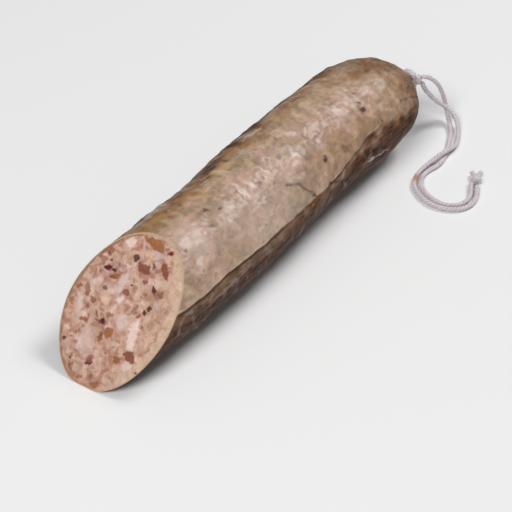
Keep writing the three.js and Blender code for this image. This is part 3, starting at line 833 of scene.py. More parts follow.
def casing_masks(x, angle, rim_distance, gathered):
    """Where the casing has each of its colours, from 0 to 1, and below, which is the distance
    under the long fold's line in millimetres."""
    degrees = np.degrees(angle) % 360
    wander = layered(x, angle, BORDER_WANDER)
    bearing = degrees + wander
    far = np.minimum(degrees, 360 - degrees)
    below = fold_distance(x, angle) / MM
    fold = fold_strength(x)
    on_cap = ramp(ALONG["cap"], x + CAP_WANDER * ripples(x, angle, 53, 12 * MM))

    # The milky crown reaches further down over the half next to the cut.
    low = CROWN_LOW + CROWN_DIP * np.exp(-((x - CROWN_DIP_PLACE) / CROWN_DIP_REACH) ** 2)
    crown = smoothstep(*ROUND["crown starts"], bearing) * (1 - smoothstep(low, low + CROWN_FADE, bearing))
    crown = crown * (1 - CROWN_LOST_ON_CAP * ramp(ALONG["crown fades"], x))

    # The belly, whose darker skin is partly painted shade of the underside, has a sharp border
    # along the fold and a soft one towards the cap.
    sharp = smoothstep(*BELOW["sharp belly"], below)
    softened = below + SOFT_BELLY_WANDER * ripples(x, angle, 54, 9 * MM)
    soft = smoothstep(*BELOW["soft belly"], softened)
    deep = smoothstep(*BELOW["deep"], below)
    belly = sharp + (soft - sharp) * ramp(ALONG["belly softens"], x)
    belly = belly * (1 - smoothstep(*ROUND["belly ends"], bearing))
    belly = belly * (1 - PALER_BELLY * (1 - deep) * (1 - ramp(ALONG["belly darkens"], x)))

    # The far side, the cap's top and the end are umber, partly browned skin and partly painted
    # shade, and tanned further than that.
    cap_brown = CAP_BROWN * ramp(ALONG["cap browns"], x)
    cap_brown = cap_brown * (1 - smoothstep(*ROUND["cap brown ends"], bearing))
    umber = 1 - smoothstep(*ROUND["far side browns"], far + BROWN_SHARE * wander)
    end_brown = END_BROWN * ramp(ALONG["end browns"], x + END_SHARE * wander)
    umber = np.maximum(np.maximum(umber, cap_brown), end_brown)
    near_tan = NEAR_TAN * ramp(ALONG["near side tans"], x)
    near_tan = near_tan * smoothstep(*ROUND["near side tans"], bearing)
    tan_bearing = far - TAN_FURTHER_ON_CAP * on_cap + TAN_SHARE * wander
    tan = 1 - smoothstep(*ROUND["far side tans"], tan_bearing)
    tan = np.maximum(np.maximum(tan, CAP_TAN * on_cap), near_tan)

    dark = np.maximum(belly, umber)
    marks = {
        kind: mark_cover(kind, x, angle) * (1 - HIDDEN_BY_DARK.get(kind, 0) * dark) for kind in MARKS
    }
    return {
        "below": np.clip(below, -BELOW_LIMIT, BELOW_LIMIT),
        "fold": fold,
        # Painted shade in the groove under the fold's lip.
        "shade_under_fold": fold * np.exp(-((below - GROOVE_PLACE) / GROOVE_WIDTH) ** 2),
        "belly": belly,
        "deep": deep,
        "umber": umber,
        "tan": tan,
        "crown": crown,
        **marks,
        "seam": np.exp(-(seam_distance(x, angle) / SEAM_WIDTH) ** 2),
        "edge": 1 - ramp(EDGE_FADES, rim_distance),
        "gathered": gathered,
    }


def pleated_outside(shape, angle, rim_x):
    """The casing's outside, from the cut to the neck: the tube, and the rounded end with its
    pleats, drawn out to a trumpet at the tie. Returns it and how gathered it is, from 0 to 1."""
    x = rim_x + (shape.cap_start_x - rim_x) * np.linspace(0, 1, BODY_ROWS)[:, None]
    body = body_point(shape, x, angle, 0)
    radius = station(np.array(shape.cap_start_x))[1]
    last_turn = math.acos((shape.neck_radius / radius) ** (shape.cap_power / 2))
    turn = np.linspace(0, last_turn, CAP_ROWS + 1)[1:, None]
    cap, reach, centre = cap_point(shape, turn, angle, 0, shape.cap_length)
    gathered = 1 - smoothstep(PLEAT_FULL_AT, PLEAT_GONE_AT, reach)
    shrink = 1 - shape.pleat_depth * gathered * gathering(shape, angle)
    cap = centre + (cap - centre) * shrink[..., None]
    cap[..., 0] += shape.trumpet_length * np.exp(-(reach - shape.neck_radius) / shape.trumpet_spread)
    return np.concatenate([body, cap]), np.concatenate([np.zeros_like(x), gathered])


def neck_rows(shape, angle, start_x):
    """The neck, which runs through the tie and flares into the stub, whose end is rounded: a
    circle whose radius is read off a profile of straight parts, with the pleats in it."""
    stub = shape.stub_end_x
    profile = np.array([
        (start_x, shape.neck_radius),
        (TIE[0] + TIE_HALF_WIDTH, shape.neck_radius),
        (stub - STUB_FLARE_LENGTH, shape.stub_radius * STUB_SHOULDER),
        (stub - STUB_ROUNDING, shape.stub_radius),
        (stub, STUB_TIP_RADIUS),
    ])
    x = np.linspace(start_x, stub, NECK_ROWS + 1)[1:, None]
    reach = np.interp(x, profile[:, 0], profile[:, 1])
    reach = reach * (1 - shape.pleat_depth * gathering(shape, angle))
    y, z = TIE[1] + reach * np.cos(angle), TIE[2] + reach * np.sin(angle)
    return np.stack(np.broadcast_arrays(x, y, z), axis=-1)


def hidden_rows(shape, angle, depth, end_length):
    """Rows that follow the tube at a depth, from behind the cut to near the pole of a plain cap."""
    start_x = cut_point(shape, angle, depth, HIDDEN_START)[..., 0]
    x = start_x + (shape.cap_start_x - start_x) * np.linspace(0, 1, HIDDEN_ROWS)[:, None]
    turn = (np.linspace(0, 1, HIDDEN_CAP_STEPS, endpoint=False)[1:] * math.pi / 2)[:, None]
    cap = cap_point(shape, turn, angle, depth, end_length)[0]
    return np.concatenate([body_point(shape, x, angle, depth), cap])


def casing_rows(shape, look):
    """The casing's rows, from the middle of its inside, out through the cut edge and along the
    outside to the stub, with the masks for each row and the poles at the two ends."""
    even = np.linspace(0, FULL_TURN, CASING_COLUMNS, endpoint=False)[None, :]
    angle = even - CLOSENESS * np.sin(even - CLOSE_COLUMNS)
    rim_x = cut_point(shape, angle, 0)[..., 0]
    outside, near_tie = pleated_outside(shape, angle, rim_x)

    # Relief, which fades out at the cut and towards the neck, and never dips below the table.
    flat_x, flat_angle = outside[..., 0], np.broadcast_to(angle, outside.shape[:2])
    rim_distance = flat_x - rim_x
    masks = casing_masks(flat_x, flat_angle, rim_distance, near_tie)
    fade = smoothstep(0, RELIEF_START, rim_distance) * (1 - RELIEF_LOST_AT_TIE * near_tie)
    relief = casing_relief(look, flat_x, flat_angle, masks) * fade
    outside = outside + grid_normals(outside) * relief[..., None]
    outside[..., 2] = np.maximum(outside[..., 2], 0)

    neck = neck_rows(shape, angle, float(outside[-1, :, 0].max()))
    wall = shape.skin
    lip = np.concatenate([cut_point(shape, angle, inset * wall, behind * wall) for behind, inset in CUT_LIP])
    inner_length = shape.cap_length - shape.cap_wall
    inside = hidden_rows(shape, angle, CASING_DEPTH, inner_length)[::-1]

    rows = np.concatenate([inside, lip, outside, neck])
    before, after = len(inside) + len(lip), len(neck)
    padded = {name: np.pad(mask, ((before, after), (0, 0))) for name, mask in masks.items()}
    padded["below"][:before] = padded["below"][before]
    padded["edge"][:before] = 1
    padded["gathered"][-after:] = 1
    poles = [(x, TIE[1], TIE[2]) for x in (shape.cap_start_x + inner_length, shape.stub_end_x)]
    return rows, padded, poles


def natural_casing_material(look):
    """Natural hog casing, cooked and then chilled: thin, taut, moist and slightly milky skin.
    It shows soft satin lights on its wrinkles, and the meat and fat behind it as blotches. Painted
    shade darkens the belly, the umber side, the creases and the groove under the fold, and
    painted highlights lighten the fold's crest and some pale marks."""
    material, tree = new_material("natural casing, cooked")
    place = add_node(tree, "ShaderNodeTexCoord", {}).outputs["Object"]
    masks = {
        name: add_node(tree, "ShaderNodeAttribute", {}, attribute_name=name).outputs["Fac"]
        for name in (
            "below", "fold", "shade_under_fold", "belly", "deep", "umber", "tan", "crown", "milky",
            "yellow", "streak", "fleck", "seam", "edge", "gathered",
        )
    }

    # Blotches of fat and lean behind the skin, about 14 mm and 4.5 mm across.
    broad, small = (
        add_node(tree, "ShaderNodeTexNoise", {
            "Vector": place, "Scale": 1 / (size * MM), "Detail": 2.0, "Roughness": 0.5, "Distortion": bent,
        }).outputs["Fac"]
        for size, bent in ((14, 0.6), (4.5, 1.0))
    )
    # Fibres of the gut wall run askew round the sausage, about 1.5 mm apart and 9 mm long.
    askew = add_node(tree, "ShaderNodeMapping", {
        "Vector": place, "Rotation": (0.3, 0.5, 0.6), "Scale": (0.16, 1.0, 1.0),
    }).outputs["Vector"]
    fibres = add_node(tree, "ShaderNodeTexNoise", {
        "Vector": askew, "Scale": 1 / (1.5 * MM), "Detail": 3.0, "Roughness": 0.6, "Distortion": 0.8,
    }).outputs["Fac"]

    # Milky over fat: most along the crown, and in the marks.
    blotch = add_node(tree, "ShaderNodeMapRange", {
        "Value": broad, "From Min": 0.36, "From Max": 0.64, "To Min": -0.25, "To Max": 0.35,
    }).outputs["Result"]
    milky = add_node(tree, "ShaderNodeMath", {
        0: masks["crown"], 1: 0.65, 2: blotch,
    }, operation="MULTIPLY_ADD", use_clamp=True).outputs["Value"]

    # The belly's skin is streaked with paler brown, most of all near the fold.
    paler = add_node(tree, "ShaderNodeMapRange", {
        "Value": fibres, "From Min": 0.36, "From Max": 0.66,
    }).outputs["Result"]
    depth = add_node(tree, "ShaderNodeMapRange", {
        "Value": masks["deep"], "To Min": 1.0, "To Max": 0.35,
    }).outputs["Result"]
    paler = add_node(tree, "ShaderNodeMath", {0: paler, 1: depth}, operation="MULTIPLY").outputs["Value"]
    belly = add_node(tree, "ShaderNodeMix", {
        "Factor": paler, MIX_FROM: rgba(look.belly), MIX_TO: rgba(look.pale_belly),
    }, data_type="RGBA").outputs[MIXED]

    # Taupe, then milky over fat, tanned, and umber on the far side, partly painted shade; the
    # belly, partly painted shade of the underside, covers them.
    skin = rgba(look.taupe)
    for strength, tint in (
        (milky, rgba(look.rose)), (masks["tan"], rgba(look.tan)),
        (masks["umber"], rgba(look.umber)), (masks["belly"], belly),
    ):
        skin = add_node(tree, "ShaderNodeMix", {
            "Factor": strength, MIX_FROM: skin, MIX_TO: tint,
        }, data_type="RGBA").outputs[MIXED]

    # Lightness wanders with the blotches and the fibres.
    skin = vary_lightness(tree, skin, (
        (broad, *NOISE, 0.80, 1.20), (small, *NOISE, 0.78, 1.22), (fibres, *NOISE, 0.90, 1.10),
    ))

    # The fold's pale rim is a thin, uneven line on the crest, just above the fold's line: doubled
    # casing, and partly a painted highlight.
    crest = add_node(tree, "ShaderNodeMath", {0: masks["below"], 1: 0.45}, operation="ADD").outputs["Value"]
    crest = add_node(tree, "ShaderNodeMath", {0: crest}, operation="ABSOLUTE").outputs["Value"]
    crest = add_node(tree, "ShaderNodeMapRange", {
        "Value": crest, "From Min": 0.08, "From Max": 0.5, "To Min": 0.7, "To Max": 0.0,
    }).outputs["Result"]
    uneven = add_node(tree, "ShaderNodeMapRange", {
        "Value": small, "From Min": 0.36, "From Max": 0.56, "To Min": 0.15,
    }).outputs["Result"]
    for share in (masks["fold"], uneven):
        crest = add_node(tree, "ShaderNodeMath", {
            0: crest, 1: share,
        }, operation="MULTIPLY").outputs["Value"]

    # Yellow fat, pale marks and the fold's crest, the last two partly painted highlights; dark flecks;
    # painted shade in the creases and under the fold; then the cut edge and the gathered end.
    for strength, share, tint in (
        (masks["yellow"], 0.7, look.yellow), (masks["milky"], 0.68, look.milk),
        (masks["streak"], 0.52, look.milk), (crest, 1.0, look.crease),
        (masks["fleck"], 0.85, look.bruise), (masks["seam"], 0.6, look.bruise),
        (masks["shade_under_fold"], 0.75, look.belly),
        (masks["edge"], 0.8, look.edge), (masks["gathered"], 0.3, look.tan),
    ):
        shown = add_node(tree, "ShaderNodeMath", {
            0: strength, 1: share,
        }, operation="MULTIPLY").outputs["Value"]
        skin = add_node(tree, "ShaderNodeMix", {
            "Factor": shown, MIX_FROM: skin, MIX_TO: rgba(tint),
        }, data_type="RGBA").outputs[MIXED]

    # Moist and satin on top; the belly and the umber side are dry and duller.
    rough = add_node(tree, "ShaderNodeMapRange", {
        "Value": small, "From Min": NOISE[0], "From Max": NOISE[1], "To Min": 0.38, "To Max": 0.54,
    }).outputs["Result"]
    dry = add_node(tree, "ShaderNodeMath", {
        0: masks["belly"], 1: masks["umber"],
    }, operation="MAXIMUM").outputs["Value"]
    moist = add_node(tree, "ShaderNodeMapRange", {
        "Value": dry, "From Max": 0.6, "To Min": 0.5, "To Max": 0.02,
    }).outputs["Result"]
    height = add_node(tree, "ShaderNodeMath", {
        0: fibres, 1: 0.25, 2: small,
    }, operation="MULTIPLY_ADD").outputs["Value"]
    bump, soft_bump = (
        add_node(tree, "ShaderNodeBump", {
            "Height": source, "Strength": strength, "Distance": 0.6 * MM,
        }).outputs["Normal"]
        for source, strength in ((height, 0.4), (small, 0.2))
    )
    skin_shader = add_node(tree, "ShaderNodeBsdfPrincipled", {
        "Base Color": skin, "Roughness": rough, "Normal": bump, "IOR": 1.40, "Specular IOR Level": 0.08,
        "Coat Weight": moist, "Coat Roughness": 0.27, "Coat IOR": 1.4, "Coat Normal": soft_bump,
        "Subsurface Weight": 0.10, "Subsurface Radius": (1.0, 0.45, 0.3), "Subsurface Scale": 1.2 * MM,
    })
    add_node(tree, "ShaderNodeOutputMaterial", {"Surface": skin_shader.outputs["BSDF"]})
    return material


class SAUSAGE_OT_casing(bpy.types.Operator):
    """Make the natural casing, from its cut edge to the stub past the tie"""

    bl_idname = "sausage.casing"
    bl_label = "Casing"
    bl_options = {"REGISTER", "UNDO"}

    def execute(self, context):
        shape, look = context.scene.sausage_shape, context.scene.casing_look
        rows, masks, poles = casing_rows(shape, look)
        quads, triangles, quad_uv, fan_uv = closed_grid(len(rows), CASING_COLUMNS)
        points = np.concatenate([[poles[0]], rows.reshape(-1, 3), [poles[1]]])
        point_masks = {
            name: np.concatenate([mask[0, :1], mask.ravel(), mask[-1, :1]])
            for name, mask in masks.items()
        }
        piece = add_mesh("natural_casing", points, [quads, triangles], [quad_uv, fan_uv], point_masks)
        piece.data.materials.append(natural_casing_material(look))
        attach(piece, "root")
        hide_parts("casing")
        return {"FINISHED"}


# ---- The filling ----

FACE_STEPS = 256
# How many points round the rim the middle of the cut is worked out from.
MIDDLE_STEPS = 720
# How deep the face's rim lies in the casing, and the first row behind it, as shares of the skin,
# how far behind the cut that row is, and how far short of the casing's inside the filling ends.
RIM_INSET = 0.85
FIRST_ROW_INSET = 1.9
FIRST_ROW_BEHIND = 1.2 * MM
END_GAP = 0.3 * MM
# The relief fades out at the rim by this power of the share of the way there.
RIM_POWER = 8

# How soft a piece's outline is: fat melts into the paste, and lean meat is cut clean.
PIECE_EDGE = {"fat": 0.7, "beige": 0.8}
CLEAN_EDGE = 0.34
SOFTEST_EDGE = 0.6
# A piece's outline: its sides, how far each turns from an even spacing, in radians, how far it
# lies from the middle, and the power that rounds the corners.
SIDES = 6
SIDE_TURN = 0.3
SIDE_DISTANCES = (0.82, 1.12)
CORNER_POWER = 6
# How far from its middle a piece can reach, as a share of its length.
PIECE_REACH = 0.75
# Scattered pieces: where they lie across the cut and up it, in millimetres, how wide they are for
# their length, and how their strength varies.
SCATTER_ACROSS = (-28, 28)
SCATTER_UP = (1, 79)
SCATTER_WIDTHS = (0.45, 0.95)
SCATTER_STRENGTHS = (0.6, 1.3)
FILLING_SEED = 7

# Ripples by height, seed, wave length in millimetres and count: how the pieces' outlines bend
# across the cut and up it, and the unevenness of the cut, as a share of the relief.
BENT_ACROSS = [(0.26 * MM, 61, 3.4, 26), (0.10 * MM, 66, 1.3, 26)]
BENT_UP = [(0.26 * MM, 62, 3.4, 26), (0.10 * MM, 67, 1.3, 26)]
UNEVEN = [(0.35, 64, 7, 26), (0.14, 65, 1.6, 40)]
# How far each kind stands proud of the cut, or lies below it, as a share of the relief.
PROUD = {"fat": 0.6, "lean": -0.5, "dark": -0.7, "amber": 0.25, "outline": -0.5}

# The cut's half width and half height, for distances from its rim.
CUT_HALF_WIDTH = 28 * MM
CUT_HALF_HEIGHT = 40 * MM
# Round the cut, in degrees: where the fat band on the right starts and ends, and how far from +Y
# the browned rim on the left fades. Its width is in millimetres from the rim.
BAND_STARTS = (95, 125)
BAND_ENDS = (225, 262)
BROWN_FADES = (60, 100)
BROWN_WIDTH = (0.4, 1.7)
BAND_STRENGTH = 0.8
BROWN_STRENGTH = 0.7
# The fat band's width as a share of its setting: on the left, what is added on the right, and
# how far it wanders. It fades between two shares of that width. The browned rim wanders too.
BAND_LEFT = 0.55
BAND_MORE_RIGHT = 0.45
BAND_WANDER = 0.22
BAND_FADES = (0.7, 1.15)
BROWN_WANDER = 0.4 * MM
HIDDEN_BY_BAND = 0.75

# The filling's map has the face at this scale, from these edges, and the hidden sides in a strip
# beside it, up to their pole.
MAP_SCALE = 82 * MM
MAP_EDGE = 0.01
MAP_HALF_WIDTH = 31 * MM
STRIP_START = 0.80
STRIP_WIDTH = 0.18
STRIP_POLE = 0.985


def disc_of_square(steps):
    """A square grid drawn into a disc: each square ring becomes a circle, and a place along its
    side becomes an angle. Returns the share of the radius and the angle."""
    side = np.linspace(-1, 1, steps + 1)
    a, b = np.meshgrid(side, side)
    wide = np.abs(a) > np.abs(b)
    reach = np.where(wide, a, b)
    safe = np.where(reach == 0, 1, reach)
    angle = np.where(wide, math.pi / 4 * b / safe, math.pi / 2 - math.pi / 4 * a / safe)
    return np.abs(reach), np.where(reach < 0, angle + math.pi, angle)


def piece_cover(across, up, place, blur, random):
    """How far each point lies inside one chopped piece, from 0 to 1. Its outline is a polygon of
    six uneven sides with rounded corners: the sixth root of the summed sixth powers of how far
    the point reaches towards each side."""
    middle, height, long, wide, turn = place
    bearing = math.radians(turn)
    one = ((across - middle) * math.cos(bearing) + (up - height) * math.sin(bearing)) / (long / 2)
    two = ((up - height) * math.cos(bearing) - (across - middle) * math.sin(bearing)) / (wide / 2)
    headings = np.arange(SIDES) * math.pi / (SIDES / 2) + random.uniform(-SIDE_TURN, SIDE_TURN, SIDES)
    distances = random.uniform(*SIDE_DISTANCES, SIDES)
    total = np.zeros_like(across)
    for heading, distance in zip(headings, distances):
        toward = (math.cos(heading) * one + math.sin(heading) * two) / distance
        total += np.maximum(0, toward) ** CORNER_POWER
    soft = min(blur / (wide / 2), SOFTEST_EDGE)
    return 1 - smoothstep(1 - soft, 1 + soft, total ** (1 / CORNER_POWER))


def scatter(kind, random):
    """Small pieces of one kind, at random places over the cut."""
    count, least, most, strength = SCATTERED[kind]
    places = []
    for _ in range(count):
        long = random.uniform(least, most)
        wide = long * random.uniform(*SCATTER_WIDTHS)
        places.append((
            random.uniform(*SCATTER_ACROSS), random.uniform(*SCATTER_UP), long, wide,
            random.uniform(0, 180), strength * random.uniform(*SCATTER_STRENGTHS),
        ))
    return places


def chopped_masks(across, up):
    """Lays every piece on the cut, the scattered small ones first. Returns a mask for each kind,
    each piece's own shade, a mask of all the outlines, which lie a little low, and where the
    large pieces are."""
    random = np.random.default_rng(FILLING_SEED)
    around = up / RADIUS
    bent_across = layered(across, around, BENT_ACROSS, across)
    bent_up = layered(across, around, BENT_UP, up)
    masks = {kind: np.zeros_like(across) for kind in SCATTERED}
    shade, outline, large = (np.zeros_like(across) for _ in range(3))
    placed = [(kind, place, 0) for kind in SCATTERED for place in scatter(kind, random)]
    placed += [(kind, place, 1) for kind in SCATTERED for place in CHOPPED[kind]]
    for kind, (middle, height, long, wide, turn, strength), counts in placed:
        place = (middle * MM, height * MM, long * MM, wide * MM, turn)
        reach = PIECE_REACH * place[2]
        near = (np.abs(across - place[0]) < reach) & (np.abs(up - place[1]) < reach)
        tone = random.uniform(-1, 1)
        if not near.any():
            continue
        blur = PIECE_EDGE.get(kind, CLEAN_EDGE) * MM
        cover = piece_cover(bent_across[near], bent_up[near], place, blur, random)
        shown = cover * min(strength, 1)
        for other, mask in masks.items():
            mask[near] = mask[near] * (1 - shown) + (shown if other == kind else 0)
        shade[near] = shade[near] * (1 - cover) + tone * cover
        outline[near] = outline[near] * (1 - cover) + 4 * cover * (1 - cover) * shown
        large[near] = np.maximum(large[near], counts * shown)
    return masks, shade, outline, large


def filling_masks(look, across, up, share, angle):
    """The chopped pieces, the fat band under the casing, and the browned rim."""
    masks, shade, outline, large = chopped_masks(across, up)
    rim_reach = np.hypot(CUT_HALF_WIDTH * np.cos(angle), CUT_HALF_HEIGHT * np.sin(angle))
    from_rim = (1 - share) * rim_reach
    degrees = np.degrees(angle) % 360
    wander = ripples(across, up / RADIUS, 63, 5 * MM)
    right_side = smoothstep(*BAND_STARTS, degrees) * (1 - smoothstep(*BAND_ENDS, degrees))
    width = look.band * (BAND_LEFT + BAND_MORE_RIGHT * right_side + BAND_WANDER * wander)
    near, far = (width * share_of_width for share_of_width in BAND_FADES)
    cream = right_side * (1 - smoothstep(near, far, from_rim))
    cream = cream * BAND_STRENGTH * (1 - large)
    left_side = 1 - smoothstep(*BROWN_FADES, np.minimum(degrees, 360 - degrees))
    brown = left_side * (1 - ramp(BROWN_WIDTH, from_rim + BROWN_WANDER * wander)) * BROWN_STRENGTH
    for mask in masks.values():
        mask *= 1 - HIDDEN_BY_BAND * cream
    masks.update(cream=cream, brown=brown, shade=shade, outline=outline)
    return masks


def cut_face(shape, look):
    """The cut as a disc of points, from its middle to just inside the casing, with its relief:
    fat stands proud, lean lies low, outlines are fine grooves, and all is uneven. Returns the
    points, their angles round the sausage, their places across the cut and up it, and masks."""
    share, angle = disc_of_square(FACE_STEPS)
    rim = cut_point(shape, angle, RIM_INSET * shape.skin)
    once_round = np.linspace(0, FULL_TURN, MIDDLE_STEPS, endpoint=False)
    centre = cut_point(shape, once_round, RIM_INSET * shape.skin).mean(axis=0)
    face = centre + (rim - centre) * share[..., None]
    across, up = face[..., 1], face[..., 2] / math.cos(shape.cut_slant)
    masks = filling_masks(look, across, up, share, angle)
    height = layered(across, up / RADIUS, UNEVEN)
    for kind, proud in PROUD.items():
        height = height + proud * masks[kind]
    normal = np.array([-1, -math.tan(shape.cut_yaw), math.tan(shape.cut_slant)])
    normal /= np.linalg.norm(normal)
    face = face + normal * (look.relief * height * (1 - share ** RIM_POWER))[..., None]
    return face, angle, across, up, masks


def strip_map(columns, levels):
    """The map of rows that close round, as a strip beside the face's, and of the fan at the end."""
    ring = np.arange(columns) / columns
    level = STRIP_START + STRIP_WIDTH * np.arange(levels) / levels
    side = np.stack(np.broadcast_arrays(ring[None, :], level[:, None]), axis=-1)
    after = side + np.array([1 / columns, 0])
    wall = np.stack([side[:-1], side[1:], after[1:], after[:-1]], axis=-2)
    top = np.stack([ring + 0.5 / columns, np.full(columns, STRIP_POLE)], axis=-1)
    return wall.reshape(-1, 4, 2), np.stack([side[-1], top, after[-1]], axis=1)


def filling_grid(shape, look):
    """The cut face, then rows back along the casing's inside to a pole. Returns points, faces,
    their map and the masks."""
    face, angle, across, up, masks = cut_face(shape, look)
    first = angle.size
    index = np.arange(first).reshape(angle.shape)

    # The face's border, once round.
    border = np.concatenate([index[:-1, -1], index[-1, :0:-1], index[:0:-1, 0], index[0, :-1]])
    border_angle = angle.ravel()[border][None, :]

    # Behind the face the filling keeps just inside the casing, to a plain cap.
    start = cut_point(shape, border_angle, FIRST_ROW_INSET * shape.skin, FIRST_ROW_BEHIND)
    end_length = shape.cap_length - shape.cap_wall - END_GAP
    sides = np.concatenate([start, hidden_rows(shape, border_angle, FILLING_DEPTH, end_length)])
    end = (shape.cap_start_x + end_length, TIE[1], TIE[2])
    points = np.concatenate([face.reshape(-1, 3), sides.reshape(-1, 3), [end]])
    pole = len(points) - 1

    square = np.stack([index[:-1, :-1], index[:-1, 1:], index[1:, 1:], index[1:, :-1]], axis=-1)
    square = square.reshape(-1, 4)
    loops = np.concatenate([border[None, :], np.arange(first, pole).reshape(sides.shape[:2])])
    following = np.roll(loops, -1, axis=1)
    wall = np.stack([loops[:-1], loops[1:], following[1:], following[:-1]], axis=-1).reshape(-1, 4)
    fan = np.stack([loops[-1], np.full(len(border), pole), following[-1]], axis=1)
    faces = [np.concatenate([square, wall]), fan]

    face_map = np.stack([up / MAP_SCALE + MAP_EDGE, (across + MAP_HALF_WIDTH) / MAP_SCALE], axis=-1)
    wall_map, fan_map = strip_map(len(border), len(loops))
    maps = [np.concatenate([face_map.reshape(-1, 2)[square], wall_map]), fan_map]
    behind = len(points) - first
    point_masks = {name: np.pad(mask.ravel(), (0, behind)) for name, mask in masks.items()}
    return points, faces, maps, point_masks


def coarse_filling_material(look):
    """Cooked, cured filling, cut with a knife: moist paste with chopped tongue, lean meat and
    fat. Fat is smooth and a little translucent, and lean is duller and fibrous."""
    material, tree = new_material("coarse tongue filling, cut")
    place = add_node(tree, "ShaderNodeTexCoord", {}).outputs["Object"]
    # The kinds in the order in which they cover each other.
    tints = {
        "fat": look.fat, "beige": look.beige, "cream": look.cream, "rosy": look.rosy,
        "amber": look.amber, "lean": look.lean, "dark": look.dark, "red": look.red,
        "brown": look.brown_rim,
    }
    masks = {
        name: add_node(tree, "ShaderNodeAttribute", {}, attribute_name=name).outputs["Fac"]
        for name in (*tints, "shade", "outline")
    }

    # Paste: mottled at about 6 mm, with crumbs of 2.2 mm and grain of 0.5 mm.
    mottle, crumb, grain = (
        add_node(tree, "ShaderNodeTexNoise", {
            "Vector": place, "Scale": 1 / (size * MM), "Detail": 3.0, "Roughness": 0.55, "Distortion": bent,
        }).outputs["Fac"]
        for size, bent in ((6.0, 0.8), (2.2, 0.6), (0.5, 0.2))
    )
    meat = rgba(look.paste)
    for source, low, high, most, tint in (
        (mottle, 0.38, 0.60, 1.0, look.pale_paste), (crumb, 0.56, 0.74, 0.40, look.rosy),
    ):
        strength = add_node(tree, "ShaderNodeMapRange", {
            "Value": source, "From Min": low, "From Max": high, "To Max": most,
        }).outputs["Result"]
        meat = add_node(tree, "ShaderNodeMix", {
            "Factor": strength, MIX_FROM: meat, MIX_TO: rgba(tint),
        }, data_type="RGBA").outputs[MIXED]
    for name, tint in tints.items():
        meat = add_node(tree, "ShaderNodeMix", {
            "Factor": masks[name], MIX_FROM: meat, MIX_TO: rgba(tint),
        }, data_type="RGBA").outputs[MIXED]

    # Each piece has its own shade, and crumbs and grain vary it inside the piece.
    meat = vary_lightness(tree, meat, (
        (masks["shade"], -1.0, 1.0, 0.86, 1.14), (crumb, *NOISE, 0.90, 1.10),
        (grain, *NOISE, 0.96, 1.04), (masks["outline"], 0.0, 1.0, 1.0, 0.90),
    ))

    rough = add_node(tree, "ShaderNodeMapRange", {
        "Value": masks["fat"], "To Min": 0.52, "To Max": 0.38,
    }).outputs["Result"]
    height = add_node(tree, "ShaderNodeMath", {
        0: grain, 1: 0.35, 2: crumb,
    }, operation="MULTIPLY_ADD").outputs["Value"]
    bump = add_node(tree, "ShaderNodeBump", {
        "Height": height, "Strength": 0.4, "Distance": 0.25 * MM,
    }).outputs["Normal"]
    cut_shader = add_node(tree, "ShaderNodeBsdfPrincipled", {
        "Base Color": meat, "Roughness": rough, "Normal": bump, "IOR": 1.40,
        "Subsurface Weight": 0.15, "Subsurface Radius": (1.0, 0.4, 0.25), "Subsurface Scale": 1.2 * MM,
    })
    add_node(tree, "ShaderNodeOutputMaterial", {"Surface": cut_shader.outputs["BSDF"]})
    return material


class SAUSAGE_OT_filling(bpy.types.Operator):
    """Make the coarse filling, which shows at the slanted cut"""

    bl_idname = "sausage.filling"
    bl_label = "Filling"
    bl_options = {"REGISTER", "UNDO"}

    def execute(self, context):
        shape, look = context.scene.sausage_shape, context.scene.filling_look
        points, faces, maps, masks = filling_grid(shape, look)
        piece = add_mesh("coarse_filling", points, faces, maps, masks)
        piece.data.materials.append(coarse_filling_material(look))
        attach(piece, "root")
        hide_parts("filling")
        return {"FINISHED"}


# ---- The twine ----

TWINE_SIDES = 24
RING_STEP = 0.35 * MM
CURVE_STEPS = 24
# The plies, the least reach of the twine as a share of its radius, how far a ply stands out from
# it, how full the ply is, and how slack the twine is, over what length.
PLIES = 3
PLY_CORE = 0.82
PLY_HEIGHT = 0.18
PLY_FULLNESS = 0.8
SLACK = 0.05
SLACK_WAVE = 6 * MM
# The map's lanes for a whole piece, the margins in a lane and at its ends, and the spot where the
# ends of a tube are mapped.
MAP_LANES = 4
LANE_MARGIN = 0.04
LANE_ENDS = 0.01
END_SPOT = 0.004

# A knot: the length of twine drawn for it, how far its loops swing in and out, and how high they
# rise, as shares of its size. Twine in a knot is drawn tight, and in a tail a little less so.
KNOT_LENGTH = 0.06
KNOT_SWING = 0.48
KNOT_RISE = 0.62
KNOT_TWINE = 0.82
TAIL_TWINE = 0.95
END_KNOT_SIZE = np.array([1.45, 1.25, 1.15]) * MM
END_KNOT_HEADING = (0.85, 0.5, 0.35)
TAIL_BOW = np.array([0, 0, 0.6]) * MM
TIE_KNOT_SIZE = np.array([1.3, 1.3, 1.0]) * MM
TIE_KNOT_HEADING = (0.5, -0.8, 0.3)
# The turns round the neck: how many, the angle where they start, and how far they run along the
# neck to each side, in radii of the twine.
TIE_TURNS = 2.0
TIE_START = math.radians(160)
TIE_SPREAD = 0.9

COTTON_TWINE = "bleached cotton twine, three-ply"
# Where the twine is stained, how far, up to which share of that it is fully stained, and how
# strong the stain and the painted shade between the strands are. That painted shade fades
# between these distances from the other strand's middle line, in radii of the twine.
STAIN_PLACE = np.array([87.0, -40.6, 1.5]) * MM
STAIN_REACH = 4.5 * MM
STAIN_FULL = 0.3
STAIN_STRENGTH = 0.8
STRAND_SHADE_STRENGTH = 0.75
STRAND_SHADE_FADES = (1.25, 1.9)


